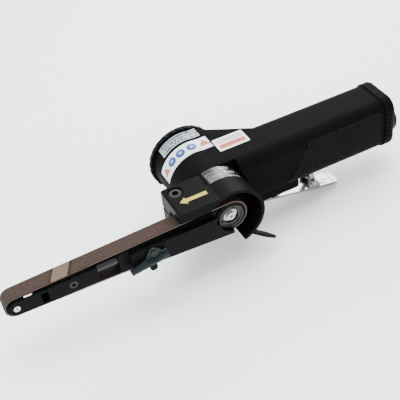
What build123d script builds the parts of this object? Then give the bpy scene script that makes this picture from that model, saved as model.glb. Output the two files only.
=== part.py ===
from build123d import *
import os
from math import asin, cos, pi, radians, sin, sqrt

os.makedirs("parts", exist_ok=True)

# Narrow belt sander driven by an air motor, millimetres.
# The origin is where the motor axis crosses the middle plane of the belt.
# +X runs back along the handle to the air inlet and the arm points to -X,
# +Y runs along the motor axis, away from the pulley, and +Z is up.

# ---------------------------------------------------------------- driving sizes
# belt and its two wheels
belt_width = 10.0
belt_thickness = 0.9
belt_length = 330.0  # round the middle of its thickness
belt_gap = 0.15  # between the belt and what it runs on
drive_radius = 10.2  # over the rubber tyre
idler_radius = 5.9

# motor, whose parts stack along Y
barrel_radius = 21.3
barrel_bore = 17.5
barrel_front = 19.5
nose_radius = 16.0
nose_front = 6.6
front_wall = 2.0
front_plate_thickness = 4.0
liner_length = 26.0
liner_bore = 14.2
liner_offset = 1.4
rear_plate_thickness = 8.0
cap_plug_length = 3.1
cap_width = 4.2
cap_chamfer = 1.6
cap_radius = 23.7
cap_lobes = 26
rotor_radius = 12.6
rotor_end_gap = 0.1
vane_count = 5
vane_thickness = 1.6
vane_reach = 0.12  # how far a vane stands out of the rotor
vane_depth = 5.0
shaft_radius = 4.0
shaft_end_radius = 3.0
front_bearing_radius = 9.5
front_bearing_width = 6.0
rear_bearing_radius = 8.5
rear_bearing_width = 5.0
seal_radius = 8.0
seal_width = 3.0
shaft_clearance = 0.6  # round the shaft in the front plate
shaft_shoulder_gap = 0.2  # between the shaft's shoulder and the pulley
vane_slack = 0.2  # a vane is this much less deep than its slot
port_radius = 1.4
port_places = (5.0, 10.5, 16.0)  # behind the liner's front
port_z = -6.0
exhaust_port_radius = 1.6
exhaust_port_places = (7.0, 14.0)
exhaust_port_z = 9.0
cap_scallop_radius = 1.5
cap_scallop_offset = 0.75  # scallop centres outside the cap's rim
cap_recess_step = 7.5
cap_recess_depth = 1.6
cap_pin_hole_radius = 2.0
cap_pin_hole_place = 11.0
cap_pin_hole_depth = 3.0

# pulley
pulley_hub_radius = 8.4
washer_radius = 4.8
washer_thickness = 1.0
pulley_screw_radius = 2.0
pulley_screw_head = 2.7
pulley_screw_head_height = 1.6
pulley_screw_length = 7.0
pulley_screw_hex = 1.3
pulley_screw_hex_depth = 1.1
pulley_screw_hole = 9.0
pulley_pocket_depth = 2.2
pulley_pocket_gap = 0.3
pulley_hole_count = 3
pulley_hole_radius = 0.9
pulley_hole_depth = 1.2
pulley_hole_start = 75.0  # degrees

# handle
handle_width = 33.0
handle_height = 36.5
handle_corner = 8.5
handle_centre_y = 29.2
handle_top = 20.8
handle_rear = 126.0
flare_start = 43.0
flare_corner = 5.0
cover_length = 8.0
cover_step = 0.9  # how far the rear cover stands proud of the handle
inlet_radius = 10.0
inlet_thread = 6.58
inlet_length = 17.0
inlet_proud = 7.9
inlet_thread_length = 13.0
air_passage_radius = 5.2
air_passage_z = -4.0
inlet_step = 1.5  # the spigot is this much smaller than the collar
inlet_chamfer = 1.0
inlet_seat_step = 2.0  # between the thread and the way through
feed_radius = 1.8
feed_drop = 3.0  # the feed to the motor below the valve seat
exhaust_drop = 7.5  # exhaust channel below the handle's top
exhaust_width = 16.0
exhaust_height = 7.0
cover_fillet = 3.0
vent_drop = 5.5
vent_pitch = 5.2
vent_count = 4
vent_length = 5.4
vent_width = 2.6
cover_screw_side = 4.3  # screws in from the handle's sides
cover_screw_up = 4.6  # and up from its bottom
cover_screw_radius = 1.5
cover_screw_length = 12.0
cover_screw_hole = 14.0
cover_screw_head = 2.7
cover_screw_head_height = 2.8
cover_screw_hex = 1.4
cover_screw_hex_depth = 1.5
cover_screw_recess = 2.9
cover_screw_recess_depth = 3.5
strainer_length = 9.0
strainer_wall = 0.8
muffler_length = 20.0
muffler_slack = 0.2

# throttle valve and lever
valve_x = 50.0
valve_boss_start = 20.0
valve_boss_end = 62.0
valve_boss_drop = 3.8
valve_bore = 6.0
stem_radius = 1.5
bushing_head = 4.6
bushing_head_length = 6.0
valve_seat_radius = 3.2
plunger_radius = 4.5
plunger_thickness = 3.4
bushing_chamfer = 0.8
bushing_recess = 5.0
bushing_port_radius = 1.5
stem_play = 0.45  # between the stem's tip and the released lever
stem_tip_fillet = 0.6
valve_wire = 0.4  # radius
valve_spring_turns = 4
valve_spring_step = 1.0  # the coil is this much smaller than the plunger
lever_pivot_x = 38.0
lever_pivot_drop = 4.5  # pin below the valve boss
lever_slope = 10.4  # degrees, when released
lever_length = 61.0
lever_width = 12.2
lever_sheet = 1.3
lever_offset = 3.1  # pin axis above the lever's plate
lug_width = 8.0
lug_radius = 2.6
pin_radius = 1.5
latch_reach = 40.5  # latch pin from the lever pin
latch_height = 14.0
latch_lean = 13.0  # degrees forward of vertical
latch_width = 8.8
latch_sheet = 1.2
latch_pin_radius = 1.1
latch_head_radius = 2.4
latch_ear_width = 3.4
lever_toe = 5.0  # lever plate in front of its pin
lever_end_corner = 4.0
latch_wire = 0.35  # radius
latch_coil_gap = 0.75
latch_leg_length = 13.0

# guard and clamp block, which swivel on the barrel's nose
guard_radius = 21.6
guard_wall = 2.0
guard_near = -8.8
guard_end_angle = -73.0
clamp_ring_radius = 21.0
clamp_ring_far = 19.2
block_front = 34.5
block_back = 9.0
block_far = 17.8
block_top = 20.3
block_bottom = 14.0
belt_roof = 13.4
slot_bottom = 7.0
slot_height = 1.6
clamp_bolt_x = 27.5
clamp_bolt_y = 11.6
clamp_bolt_radius = 2.5
clamp_bolt_head = 4.25
clamp_bolt_head_height = 4.4
clamp_bolt_chamfer = 0.5
clamp_bolt_hex = 2.3
clamp_bolt_hex_depth = 2.6
clamp_hole_floor = 3.0  # metal left under the bolt's hole
clamp_bolt_end = 4.0  # bolt end above the block's bottom
block_edge_fillet = 1.5
counterbore_radius = 4.8
counterbore_depth = 5.0
fin_length = 22.5
fin_root_angle = -56.0
fin_thickness = 1.8
fin_width = 4.0
fin_slope = 40.0  # degrees below the horizontal

# arm
arm_half_width = 4.8
arm_clearance = 1.6  # between the bracket and the inside of the belt
bracket_front = 67.5
bracket_pulley_gap = 1.4  # between the tyre and the bracket's round cut
collar_length = 7.0
collar_half_height = 6.9
tube_radius = 3.6
tube_bore = 2.5
tube_end = 40.0  # rear end of the tube, from the motor axis
spring_seat = 26.5
near_plate_outer = -8.1
near_plate_inner = -5.6
near_plate_top = 4.6
bracket_screw_radius = 1.5
bracket_screw_head = 2.75
bracket_screw_spacing = 7.2
bracket_screw_x = 20.0
bracket_screw_mid_z = -1.0
bracket_screw_sink = 3.0
bracket_screw_head_height = 2.6
bracket_screw_hex = 1.4
bracket_screw_hex_depth = 1.5
bracket_screw_reach = 7.5  # past the block into the bracket
bracket_screw_hole = 8.0
bracket_tail = 4.5  # bracket's foot behind the screws
pin_hole_depth = 6.0
collar_corner = 1.2
tube_floor = 3.0
tension_wire = 0.45  # radius
tension_turns = 6
tension_coil_step = 0.7  # the coil is this much smaller than the tube

# fork at the tip
fork_length = 49.5
fork_gap = 10.8
fork_plate = 1.5
fork_tip_radius = 4.8
fork_rear_half = 5.5
idler_width = 10.2
idler_bush_radius = 3.4
idler_axle_radius = 2.0
platen_thickness = 1.2
platen_front = 10.8  # behind the idler axle
platen_length = 36.0
fork_window_x = 17.0
fork_window_width = 4.3
fork_window_half = 3.8
plate_screw_x = 34.3
plate_screw_radius = 1.5
plate_screw_head = 2.6
spigot_radius = 2.5
spigot_length = 11.0

# belt release lever and tracking knob on the bracket
release_pivot_x = 54.0
release_pivot_z = 1.4
release_sheet = 1.2
release_lip_width = 4.6
release_lip_drop = 5.4  # lip below the pin
release_lip_front = 17.0
release_lip_back = 8.0
release_slope = 7.8
knob_x = 56.0
knob_z = -7.4
knob_radius = 2.5
knob_length = 3.6
knob_pin_radius = 1.1

# clearances
running_gap = 0.05
slide_gap = 0.05
bearing_gap = 0.02
swivel_gap = 0.05
side_gap = 0.3
ring_clearance = 1.5  # between the swivelling clamp ring and the handle
part_gap = 0.4

# ---------------------------------------------------------------- worked-out places
pitch_drive = drive_radius + belt_gap + belt_thickness / 2
pitch_idler = idler_radius + belt_gap + belt_thickness / 2
bracket_pulley_cut = drive_radius + bracket_pulley_gap
straight_run = belt_length - pi * (pitch_drive + pitch_idler)
wheel_step = pitch_drive - pitch_idler
centre_distance = (straight_run + sqrt(straight_run**2 - 8 * wheel_step**2)) / 4
belt_slope = asin(wheel_step / centre_distance)

liner_front = barrel_front + front_wall + front_plate_thickness
rear_plate_front = liner_front + liner_length
barrel_far = rear_plate_front + rear_plate_thickness + cap_plug_length
cap_far = barrel_far + cap_width
handle_near = handle_centre_y - handle_width / 2
handle_far = handle_centre_y + handle_width / 2
handle_bottom = handle_top - handle_height
handle_centre_z = (handle_top + handle_bottom) / 2
front_bearing_y = barrel_front + front_wall - front_bearing_width - 3.5
rear_bearing_y = rear_plate_front + 2.5
cover_rear = handle_rear + cover_length
boss_bottom = handle_bottom - valve_boss_drop
lever_pivot_z = boss_bottom - lever_pivot_drop
bushing_bottom = boss_bottom - bushing_head_length
valve_seat_z = boss_bottom + 7.5
chamber_top = air_passage_z + air_passage_radius + 0.6
fork_rear = centre_distance - fork_length
fork_half = fork_gap / 2 + fork_plate
bracket_screw_z = (
    bracket_screw_mid_z - bracket_screw_spacing / 2,
    bracket_screw_mid_z + bracket_screw_spacing / 2,
)


def side(y):
    """Plane at this Y for shapes seen from the side: x is +X, y is +Z, extruding towards -Y."""
    return Plane.XZ.offset(-y)


def across(x):
    """Plane at this X for cross-sections of the handle: x is +Y, y is +Z, extruding towards +X."""
    return Plane.YZ.offset(x)


def belt_z(x, inset=0.0):
    """Height of the inner face of the belt's upper run at this X, less an inset."""
    inner = drive_radius + belt_gap - inset
    return (inner + x * sin(belt_slope)) / cos(belt_slope)


def lever_plane(y):
    """Side-view plane that lies along the released throttle lever, with its origin at the pin."""
    slope = radians(lever_slope)
    return Plane(origin=(lever_pivot_x, y, lever_pivot_z), x_dir=(cos(slope), 0, -sin(slope)), z_dir=(0, -1, 0))


def release_plane(y):
    """Side-view plane along the belt release lever's lip, with its origin at the pin."""
    slope = radians(release_slope)
    origin = (-release_pivot_x, y, release_pivot_z)
    return Plane(origin=origin, x_dir=(cos(slope), 0, sin(slope)), z_dir=(0, -1, 0))


def write(piece, name):
    """Label a finished piece and write it to its own file."""
    piece.part.label = name
    export_step(piece.part, f"parts/{name}.step")


def ring_between(y_near, y_far, outer, inner, x=0.0, z=0.0):
    """Ring about an axis along Y."""
    with BuildPart() as ring:
        with BuildSketch(side(y_far)):
            with Locations((x, z)):
                Circle(outer)
                Circle(inner, mode=Mode.SUBTRACT)
        extrude(amount=y_far - y_near)
    return ring


# ---------------------------------------------------------------- abrasive belt
def make_belt():
    """Endless belt round the drive pulley and the idler."""
    with BuildPart() as belt:
        for extra, mode in ((belt_gap + belt_thickness, Mode.ADD), (belt_gap, Mode.SUBTRACT)):
            with BuildSketch(side(belt_width / 2)):
                Circle(drive_radius + extra)
                with Locations((-centre_distance, 0)):
                    Circle(idler_radius + extra)
                make_hull()
            extrude(amount=belt_width, mode=mode)
    return belt


# ---------------------------------------------------------------- motor housing
def make_motor_housing():
    """Barrel, nose and handle in one casting, with the bores for motor, valve and air."""
    with BuildPart() as housing:
        # web that widens the handle to the far end of the barrel
        with BuildSketch(Plane.XY.offset(handle_bottom + handle_corner)):
            with BuildLine():
                Polyline(
                    (0, handle_centre_y),
                    (0, barrel_far),
                    (barrel_radius * 0.55, barrel_far),
                    (flare_start + flare_corner, handle_far - flare_corner),
                    (flare_start + flare_corner, handle_centre_y),
                    close=True,
                )
            make_face()
        extrude(amount=handle_height - handle_corner)
        slanted = housing.faces().filter_by(lambda f: abs(f.normal_at().X) > 0.2 and f.normal_at().Y > 0.2)
        fillet(slanted.edges().filter_by(lambda e: abs(e.tangent_at(0.5).Z) < 0.01), flare_corner)
        with BuildSketch(across(0)):
            with Locations((handle_centre_y, handle_centre_z)):
                RectangleRounded(handle_width, handle_height, handle_corner)
        extrude(amount=handle_rear)
        # room for the clamp ring in front of the barrel
        ring_room = clamp_ring_radius + ring_clearance
        with BuildSketch(side(barrel_front)):
            Circle(ring_room)
            with Locations((ring_room * 0.4, handle_centre_z)):
                Rectangle(ring_room * 0.8, handle_height + 2)
        extrude(amount=barrel_front - handle_near + 1, mode=Mode.SUBTRACT)
        with BuildSketch(side(barrel_far)):
            Circle(barrel_radius)
        extrude(amount=barrel_far - barrel_front)
        with BuildSketch(side(barrel_front)):
            Circle(nose_radius)
        extrude(amount=barrel_front - nose_front)
        # valve boss and lever lug
        with BuildSketch(Plane.XY.offset(boss_bottom)):
            with Locations(((valve_boss_start + valve_boss_end) / 2, handle_centre_y)):
                RectangleRounded(valve_boss_end - valve_boss_start, handle_width - 5, 4)
        extrude(amount=valve_boss_drop + handle_corner)
        with BuildSketch(side(handle_centre_y + lug_width / 2)):
            with Locations((lever_pivot_x, lever_pivot_z)):
                Circle(lug_radius)
            with Locations((lever_pivot_x, (lever_pivot_z + boss_bottom) / 2 + 0.5)):
                Rectangle(2 * lug_radius, lever_pivot_drop + 1)
        extrude(amount=lug_width)
        with BuildSketch(side(handle_centre_y + lug_width / 2)):
            with Locations((lever_pivot_x, lever_pivot_z)):
                Circle(pin_radius)
        extrude(amount=lug_width, mode=Mode.SUBTRACT)
        # motor bore, bearing seat, seal pocket and shaft hole
        steps = (
            (barrel_far, barrel_front + front_wall, barrel_bore),
            (barrel_front + front_wall, front_bearing_y, front_bearing_radius),
            (front_bearing_y, front_bearing_y - seal_width, seal_radius),
            (front_bearing_y - seal_width, nose_front, shaft_radius + 1.0),
        )
        for far, near, radius in steps:
            with BuildSketch(side(far)):
                Circle(radius)
            extrude(amount=far - near, mode=Mode.SUBTRACT)
        # air passage from the rear, valve chamber, feed to the motor and exhaust channel
        with BuildSketch(across(valve_x)):
            with Locations((handle_centre_y, air_passage_z)):
                Circle(air_passage_radius)
        extrude(amount=handle_rear - valve_x, mode=Mode.SUBTRACT)
        with BuildSketch(Plane.XY.offset(boss_bottom)):
            with Locations((valve_x, handle_centre_y)):
                Circle(valve_bore)
        extrude(amount=chamber_top - boss_bottom, mode=Mode.SUBTRACT)
        with BuildSketch(across(barrel_radius * 0.4)):
            with Locations((handle_centre_y, valve_seat_z - feed_drop)):
                Circle(feed_radius)
        extrude(amount=valve_x - barrel_radius * 0.4, mode=Mode.SUBTRACT)
        with BuildSketch(across(barrel_radius * 0.4)):
            with Locations((handle_centre_y, handle_top - exhaust_drop)):
                SlotOverall(exhaust_width, exhaust_height)
        extrude(amount=handle_rear - barrel_radius * 0.4, mode=Mode.SUBTRACT)
        # inlet bushing seat and holes for the cover screws
        with BuildSketch(across(cover_rear + inlet_proud - inlet_length)):
            with Locations((handle_centre_y, air_passage_z)):
                Circle(inlet_radius - inlet_step)
        extrude(amount=handle_rear - (cover_rear + inlet_proud - inlet_length), mode=Mode.SUBTRACT)
        with BuildSketch(across(handle_rear - cover_screw_hole)):
            with Locations(*cover_screw_places()):
                Circle(cover_screw_radius)
        extrude(amount=cover_screw_hole, mode=Mode.SUBTRACT)
    return housing


def cover_screw_places():
    """Y and Z of the two screws that hold the rear cover."""
    reach_y = handle_width / 2 - cover_screw_side
    return (
        (handle_centre_y - reach_y, handle_bottom + cover_screw_up),
        (handle_centre_y + reach_y, handle_bottom + cover_screw_up),
    )


# ---------------------------------------------------------------- air motor
def make_end_cap():
    """Scalloped cap screwed into the far end of the barrel."""
    with BuildPart() as cap:
        with BuildSketch(side(cap_far)):
            Circle(cap_radius)
        extrude(amount=cap_width)
        chamfer(cap.faces().sort_by(Axis.Y)[-1].edges(), cap_chamfer)
        with BuildSketch(side(cap_far)):
            with PolarLocations(cap_radius + cap_scallop_offset, cap_lobes):
                Circle(cap_scallop_radius)
        extrude(amount=cap_width, mode=Mode.SUBTRACT)
        with BuildSketch(side(barrel_far)):
            Circle(barrel_bore - slide_gap)
        extrude(amount=cap_plug_length)
        with BuildSketch(side(cap_far)):
            Circle(cap_radius - cap_recess_step)
        extrude(amount=cap_recess_depth, mode=Mode.SUBTRACT)
        with BuildSketch(side(cap_far - cap_recess_depth)):
            with Locations((cap_pin_hole_place, 0), (-cap_pin_hole_place, 0)):
                Circle(cap_pin_hole_radius)
        extrude(amount=cap_pin_hole_depth, mode=Mode.SUBTRACT)
        with BuildSketch(side(barrel_far - cap_plug_length + 2)):
            Circle(rear_bearing_radius)
        extrude(amount=2, mode=Mode.SUBTRACT)
    return cap


def make_front_plate():
    """Front end plate of the motor, with a boss that holds the front bearing."""
    plate = ring_between(barrel_front + front_wall, liner_front, barrel_bore - slide_gap, shaft_radius + shaft_clearance)
    with BuildPart() as front_plate:
        add(plate.part)
        with BuildSketch(side(barrel_front + front_wall)):
            Circle(front_bearing_radius - slide_gap)
            Circle(shaft_radius + shaft_clearance, mode=Mode.SUBTRACT)
        extrude(amount=barrel_front + front_wall - front_bearing_y - front_bearing_width)
    return front_plate


def make_liner():
    """Cylinder liner with its bore off centre and a row of ports."""
    with BuildPart() as liner:
        with BuildSketch(side(rear_plate_front)):
            Circle(barrel_bore - slide_gap)
            with Locations((0, liner_offset)):
                Circle(liner_bore, mode=Mode.SUBTRACT)
        extrude(amount=liner_length)
        with BuildSketch(across(0)):
            with Locations(*[(liner_front + place, port_z) for place in port_places]):
                Circle(port_radius)
        extrude(amount=barrel_bore + 1, mode=Mode.SUBTRACT)
        with BuildSketch(across(0)):
            with Locations(*[(liner_front + place, exhaust_port_z) for place in exhaust_port_places]):
                Circle(exhaust_port_radius)
        extrude(amount=barrel_bore + 1, mode=Mode.SUBTRACT)
    return liner


def make_rear_plate():
    """Rear end plate of the motor, which carries the rear bearing."""
    far = rear_plate_front + rear_plate_thickness
    with BuildPart() as rear_plate:
        with BuildSketch(side(far)):
            Circle(barrel_bore - slide_gap)
            Circle(shaft_end_radius + 1, mode=Mode.SUBTRACT)
        extrude(amount=rear_plate_thickness)
        with BuildSketch(side(far)):
            Circle(rear_bearing_radius)
        extrude(amount=far - rear_bearing_y, mode=Mode.SUBTRACT)
    return rear_plate


def make_rotor():
    """Slotted rotor with its shaft, which runs through both bearings to the pulley."""
    front = liner_front + rotor_end_gap
    far = rear_plate_front - rotor_end_gap
    shaft_steps = (
        (front, belt_width / 2 + shaft_shoulder_gap, shaft_radius),
        (belt_width / 2 + shaft_shoulder_gap, washer_back(), shaft_end_radius),
        (rear_bearing_y + rear_bearing_width, far, shaft_end_radius),
    )
    with BuildPart() as rotor:
        with BuildSketch(side(far)):
            Circle(rotor_radius)
            with PolarLocations(rotor_radius - vane_depth / 2 + 0.5, vane_count):
                Rectangle(vane_depth + 1, vane_thickness + 2 * slide_gap, mode=Mode.SUBTRACT)
        extrude(amount=far - front)
        for y_far, y_near, radius in shaft_steps:
            with BuildSketch(side(y_far)):
                Circle(radius)
            extrude(amount=y_far - y_near)
        with BuildSketch(side(washer_back() + pulley_screw_hole)):
            Circle(pulley_screw_radius)
        extrude(amount=pulley_screw_hole, mode=Mode.SUBTRACT)
    return rotor


def make_vanes():
    """Blades in the rotor's slots."""
    front = liner_front + rotor_end_gap
    far = rear_plate_front - rotor_end_gap
    with BuildPart() as vanes:
        with BuildSketch(side(far)):
            with PolarLocations(rotor_radius + vane_reach - (vane_depth - vane_slack) / 2, vane_count):
                Rectangle(vane_depth - vane_slack, vane_thickness)
        extrude(amount=far - front)
    return vanes


def washer_back():
    """Y of the pulley face that the washer sits on."""
    return -belt_width / 2 + pulley_pocket_depth


# ---------------------------------------------------------------- drive pulley
def make_pulley():
    """Pulley hub with a pocket for the washer and the screw."""
    with BuildPart() as pulley:
        with BuildSketch(side(belt_width / 2)):
            Circle(pulley_hub_radius)
            Circle(shaft_end_radius, mode=Mode.SUBTRACT)
        extrude(amount=belt_width)
        with BuildSketch(side(washer_back())):
            Circle(washer_radius + pulley_pocket_gap)
        extrude(amount=pulley_pocket_depth, mode=Mode.SUBTRACT)
        with BuildSketch(side(-belt_width / 2 + pulley_hole_depth)):
            ring = (washer_radius + pulley_hub_radius) / 2 + 0.2
            with PolarLocations(ring, pulley_hole_count, start_angle=pulley_hole_start):
                Circle(pulley_hole_radius)
        extrude(amount=pulley_hole_depth, mode=Mode.SUBTRACT)
    return pulley


def make_pulley_screw():
    """Socket screw that holds the pulley on the shaft."""
    with BuildPart() as screw:
        with BuildSketch(side(washer_back() + pulley_screw_length)):
            Circle(pulley_screw_radius)
        extrude(amount=pulley_screw_length + washer_thickness)
        with BuildSketch(side(washer_back() - washer_thickness)):
            Circle(pulley_screw_head)
        extrude(amount=pulley_screw_head_height)
        hex_floor = washer_back() - washer_thickness - pulley_screw_head_height
        with BuildSketch(side(hex_floor + pulley_screw_hex_depth)):
            RegularPolygon(pulley_screw_hex, 6)
        extrude(amount=pulley_screw_hex_depth, mode=Mode.SUBTRACT)
    return screw


# ---------------------------------------------------------------- rear cover and air inlet
def make_rear_cover():
    """Cover on the handle's rear end, with the inlet hole and the exhaust vents."""
    with BuildPart() as cover:
        with BuildSketch(across(handle_rear)):
            with Locations((handle_centre_y, handle_centre_z)):
                width = handle_width + 2 * cover_step
                RectangleRounded(width, handle_height + 2 * cover_step, handle_corner + cover_step)
        extrude(amount=cover_length)
        fillet(cover.faces().sort_by(Axis.X)[-1].edges(), cover_fillet)
        with BuildSketch(across(handle_rear)):
            with Locations((handle_centre_y, air_passage_z)):
                Circle(inlet_radius + slide_gap)
        extrude(amount=cover_length, mode=Mode.SUBTRACT)
        with BuildSketch(across(handle_rear)):
            with Locations((handle_centre_y, handle_top - vent_drop)):
                with GridLocations(vent_pitch, 1, vent_count, 1):
                    SlotOverall(vent_length, vent_width, rotation=90)
        extrude(amount=cover_length, mode=Mode.SUBTRACT)
        with BuildSketch(across(cover_rear)):
            with Locations(*cover_screw_places()):
                Circle(cover_screw_recess)
        extrude(amount=-cover_screw_recess_depth, mode=Mode.SUBTRACT)
        with BuildSketch(across(handle_rear)):
            with Locations(*cover_screw_places()):
                Circle(cover_screw_radius + 0.1)
        extrude(amount=cover_length, mode=Mode.SUBTRACT)
    return cover


def make_cover_screws():
    """Two socket screws through the rear cover."""
    head = cover_rear - cover_screw_recess_depth
    with BuildPart() as screws:
        with BuildSketch(across(handle_rear - cover_screw_length)):
            with Locations(*cover_screw_places()):
                Circle(cover_screw_radius)
        extrude(amount=head - handle_rear + cover_screw_length)
        with BuildSketch(across(head)):
            with Locations(*cover_screw_places()):
                Circle(cover_screw_head)
        extrude(amount=cover_screw_head_height)
        with BuildSketch(across(head + cover_screw_head_height)):
            with Locations(*cover_screw_places()):
                RegularPolygon(cover_screw_hex, 6)
        extrude(amount=-cover_screw_hex_depth, mode=Mode.SUBTRACT)
    return screws


def make_inlet_bushing():
    """Threaded air inlet: a thick collar in the cover on a spigot in the handle."""
    end = cover_rear + inlet_proud
    with BuildPart() as bushing:
        with BuildSketch(across(handle_rear)):
            with Locations((handle_centre_y, air_passage_z)):
                Circle(inlet_radius)
        extrude(amount=end - handle_rear)
        chamfer(bushing.faces().sort_by(Axis.X)[-1].edges(), inlet_chamfer)
        with BuildSketch(across(end - inlet_length)):
            with Locations((handle_centre_y, air_passage_z)):
                Circle(inlet_radius - inlet_step)
        extrude(amount=inlet_length - (end - handle_rear))
        with BuildSketch(across(end)):
            with Locations((handle_centre_y, air_passage_z)):
                Circle(inlet_thread)
        extrude(amount=-inlet_thread_length, mode=Mode.SUBTRACT)
        with BuildSketch(across(end)):
            with Locations((handle_centre_y, air_passage_z)):
                Circle(inlet_thread - inlet_seat_step)
        extrude(amount=-inlet_length, mode=Mode.SUBTRACT)
    return bushing


def make_strainer():
    """Cup-shaped air strainer behind the inlet."""
    front = cover_rear + inlet_proud - inlet_length
    with BuildPart() as strainer:
        with BuildSketch(across(front - strainer_length)):
            with Locations((handle_centre_y, air_passage_z)):
                Circle(air_passage_radius - strainer_wall)
        extrude(amount=strainer_length)
        with BuildSketch(across(front)):
            with Locations((handle_centre_y, air_passage_z)):
                Circle(air_passage_radius - 2 * strainer_wall)
        extrude(amount=-(strainer_length - strainer_wall), mode=Mode.SUBTRACT)
    return strainer


def make_muffler():
    """Felt pad in the exhaust channel."""
    with BuildPart() as muffler:
        with BuildSketch(across(handle_rear - muffler_length)):
            with Locations((handle_centre_y, handle_top - exhaust_drop)):
                SlotOverall(exhaust_width - muffler_slack, exhaust_height - muffler_slack)
        extrude(amount=muffler_length)
    return muffler


# ---------------------------------------------------------------- throttle valve
def make_bushing():
    """Brass bushing screwed up into the boss, which guides the stem and seats the plunger."""
    with BuildPart() as bushing:
        with BuildSketch(Plane.XY.offset(boss_bottom)):
            with Locations((valve_x, handle_centre_y)):
                Circle(valve_bore)
        extrude(amount=valve_seat_z - boss_bottom)
        with BuildSketch(Plane.XY.offset(bushing_bottom)):
            with Locations((valve_x, handle_centre_y)):
                Circle(bushing_head)
        extrude(amount=bushing_head_length)
        chamfer(bushing.faces().sort_by(Axis.Z)[0].edges(), bushing_chamfer)
        with BuildSketch(Plane.XY.offset(bushing_bottom)):
            with Locations((valve_x, handle_centre_y)):
                Circle(stem_radius + running_gap)
        extrude(amount=valve_seat_z - bushing_bottom, mode=Mode.SUBTRACT)
        with BuildSketch(Plane.XY.offset(valve_seat_z)):
            with Locations((valve_x, handle_centre_y)):
                Circle(valve_seat_radius)
        extrude(amount=-bushing_recess, mode=Mode.SUBTRACT)
        with BuildSketch(across(valve_x - valve_bore - 1)):
            with Locations((handle_centre_y, valve_seat_z - feed_drop)):
                Circle(bushing_port_radius)
        extrude(amount=valve_bore + 1, mode=Mode.SUBTRACT)
    return bushing


def make_valve():
    """Valve stem with its plunger, pushed up by the lever."""
    tip = lever_top_at_valve() + stem_play
    with BuildPart() as valve:
        with BuildSketch(Plane.XY.offset(tip)):
            with Locations((valve_x, handle_centre_y)):
                Circle(stem_radius)
        extrude(amount=valve_seat_z - tip)
        fillet(valve.faces().sort_by(Axis.Z)[0].edges(), stem_tip_fillet)
        with BuildSketch(Plane.XY.offset(valve_seat_z)):
            with Locations((valve_x, handle_centre_y)):
                Circle(plunger_radius)
        extrude(amount=plunger_thickness)
    return valve


def lever_top_at_valve():
    """Height of the lever's upper face below the valve stem, when released."""
    slope = radians(lever_slope)
    reach = valve_x - lever_pivot_x
    return lever_pivot_z - reach * sin(slope) / cos(slope) - lever_offset / cos(slope)


def make_valve_spring():
    """Spring that closes the valve, as turns of round wire between plunger and chamber top."""
    bottom = valve_seat_z + plunger_thickness
    height = chamber_top - bottom
    wire = valve_wire
    mean_radius = plunger_radius - valve_spring_step
    with BuildPart() as spring:
        with BuildLine():
            Helix(pitch=(height - 2 * wire) / valve_spring_turns, height=height - 2 * wire, radius=mean_radius,
                  center=(valve_x, handle_centre_y, bottom + wire))
        with BuildSketch(Plane(origin=(valve_x + mean_radius, handle_centre_y, bottom + wire), z_dir=(0, 1, 0))):
            Circle(wire)
        sweep(is_frenet=True)
    return spring


# ---------------------------------------------------------------- throttle lever and latch
def make_throttle_lever():
    """Sheet lever with ears for its pin at the front and for the latch pin in the middle."""
    near = handle_centre_y - lever_width / 2
    far = handle_centre_y + lever_width / 2
    plate_top = -lever_offset
    with BuildPart() as lever:
        with BuildSketch(lever_plane(far)):
            with Locations(((lever_length - lever_toe) / 2, plate_top - lever_sheet / 2)):
                Rectangle(lever_length + lever_toe, lever_sheet)
        extrude(amount=lever_width)
        corners = lever.edges().filter_by(lambda e: e.length < lever_sheet * 1.05).sort_by(Axis.X)[-2:]
        fillet(corners, lever_end_corner)
        for outer in (far, near + lever_sheet):
            with BuildSketch(lever_plane(outer)):
                with BuildLine():
                    Polyline((-5, plate_top - 0.5), (7, plate_top - 0.5), (3.2, 2.4), (-3.2, 2.4), close=True)
                make_face()
                with Locations((latch_reach, 0)):
                    Circle(2.6)
                with Locations((latch_reach, (plate_top - 0.5) / 2)):
                    Rectangle(9, lever_offset + 0.5)
            extrude(amount=lever_sheet)
        with BuildSketch(lever_plane(far)):
            Circle(pin_radius + running_gap)
            with Locations((latch_reach, 0)):
                Circle(latch_pin_radius)
        extrude(amount=lever_width, mode=Mode.SUBTRACT)
        with BuildSketch(lever_plane(far)):
            with Locations((latch_reach + 16, plate_top)):
                Rectangle(1, 0.5)
        extrude(amount=lever_width, mode=Mode.SUBTRACT)
    return lever


def make_pin(plane_at, local_x, radius, length):
    """Round pin along Y through the middle of the lever."""
    with BuildPart() as pin:
        with BuildSketch(plane_at(handle_centre_y + length / 2)):
            with Locations((local_x, 0)):
                Circle(radius)
        extrude(amount=length)
    return pin


def make_latch():
    """Latch that stands between lever and handle until it is pushed forward."""
    far = handle_centre_y + latch_width / 2
    near = handle_centre_y - latch_width / 2
    slope = radians(lever_slope)
    pin_x = lever_pivot_x + latch_reach * cos(slope)
    pin_z = lever_pivot_z - latch_reach * sin(slope)
    lean = radians(latch_lean)

    def latch_plane(y):
        return Plane(origin=(pin_x, y, pin_z), x_dir=(-sin(lean), 0, cos(lean)), z_dir=(0, 1, 0))

    with BuildPart() as latch:
        for outer in (near, far - latch_sheet):
            with BuildSketch(latch_plane(outer)):
                Circle(latch_head_radius)
                with Locations((latch_height / 2, 0)):
                    Rectangle(latch_height, latch_ear_width)
                Circle(latch_pin_radius + running_gap, mode=Mode.SUBTRACT)
            extrude(amount=latch_sheet)
        with BuildSketch(latch_plane(near)):
            with Locations((latch_height / 2 + 2, -1.1)):
                Rectangle(latch_height - 4, latch_sheet)
        extrude(amount=latch_width)
        with BuildSketch(latch_plane(near)):
            with Locations((latch_height - 0.6, 0)):
                Rectangle(latch_sheet, latch_ear_width)
        extrude(amount=latch_width)
    return latch


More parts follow.
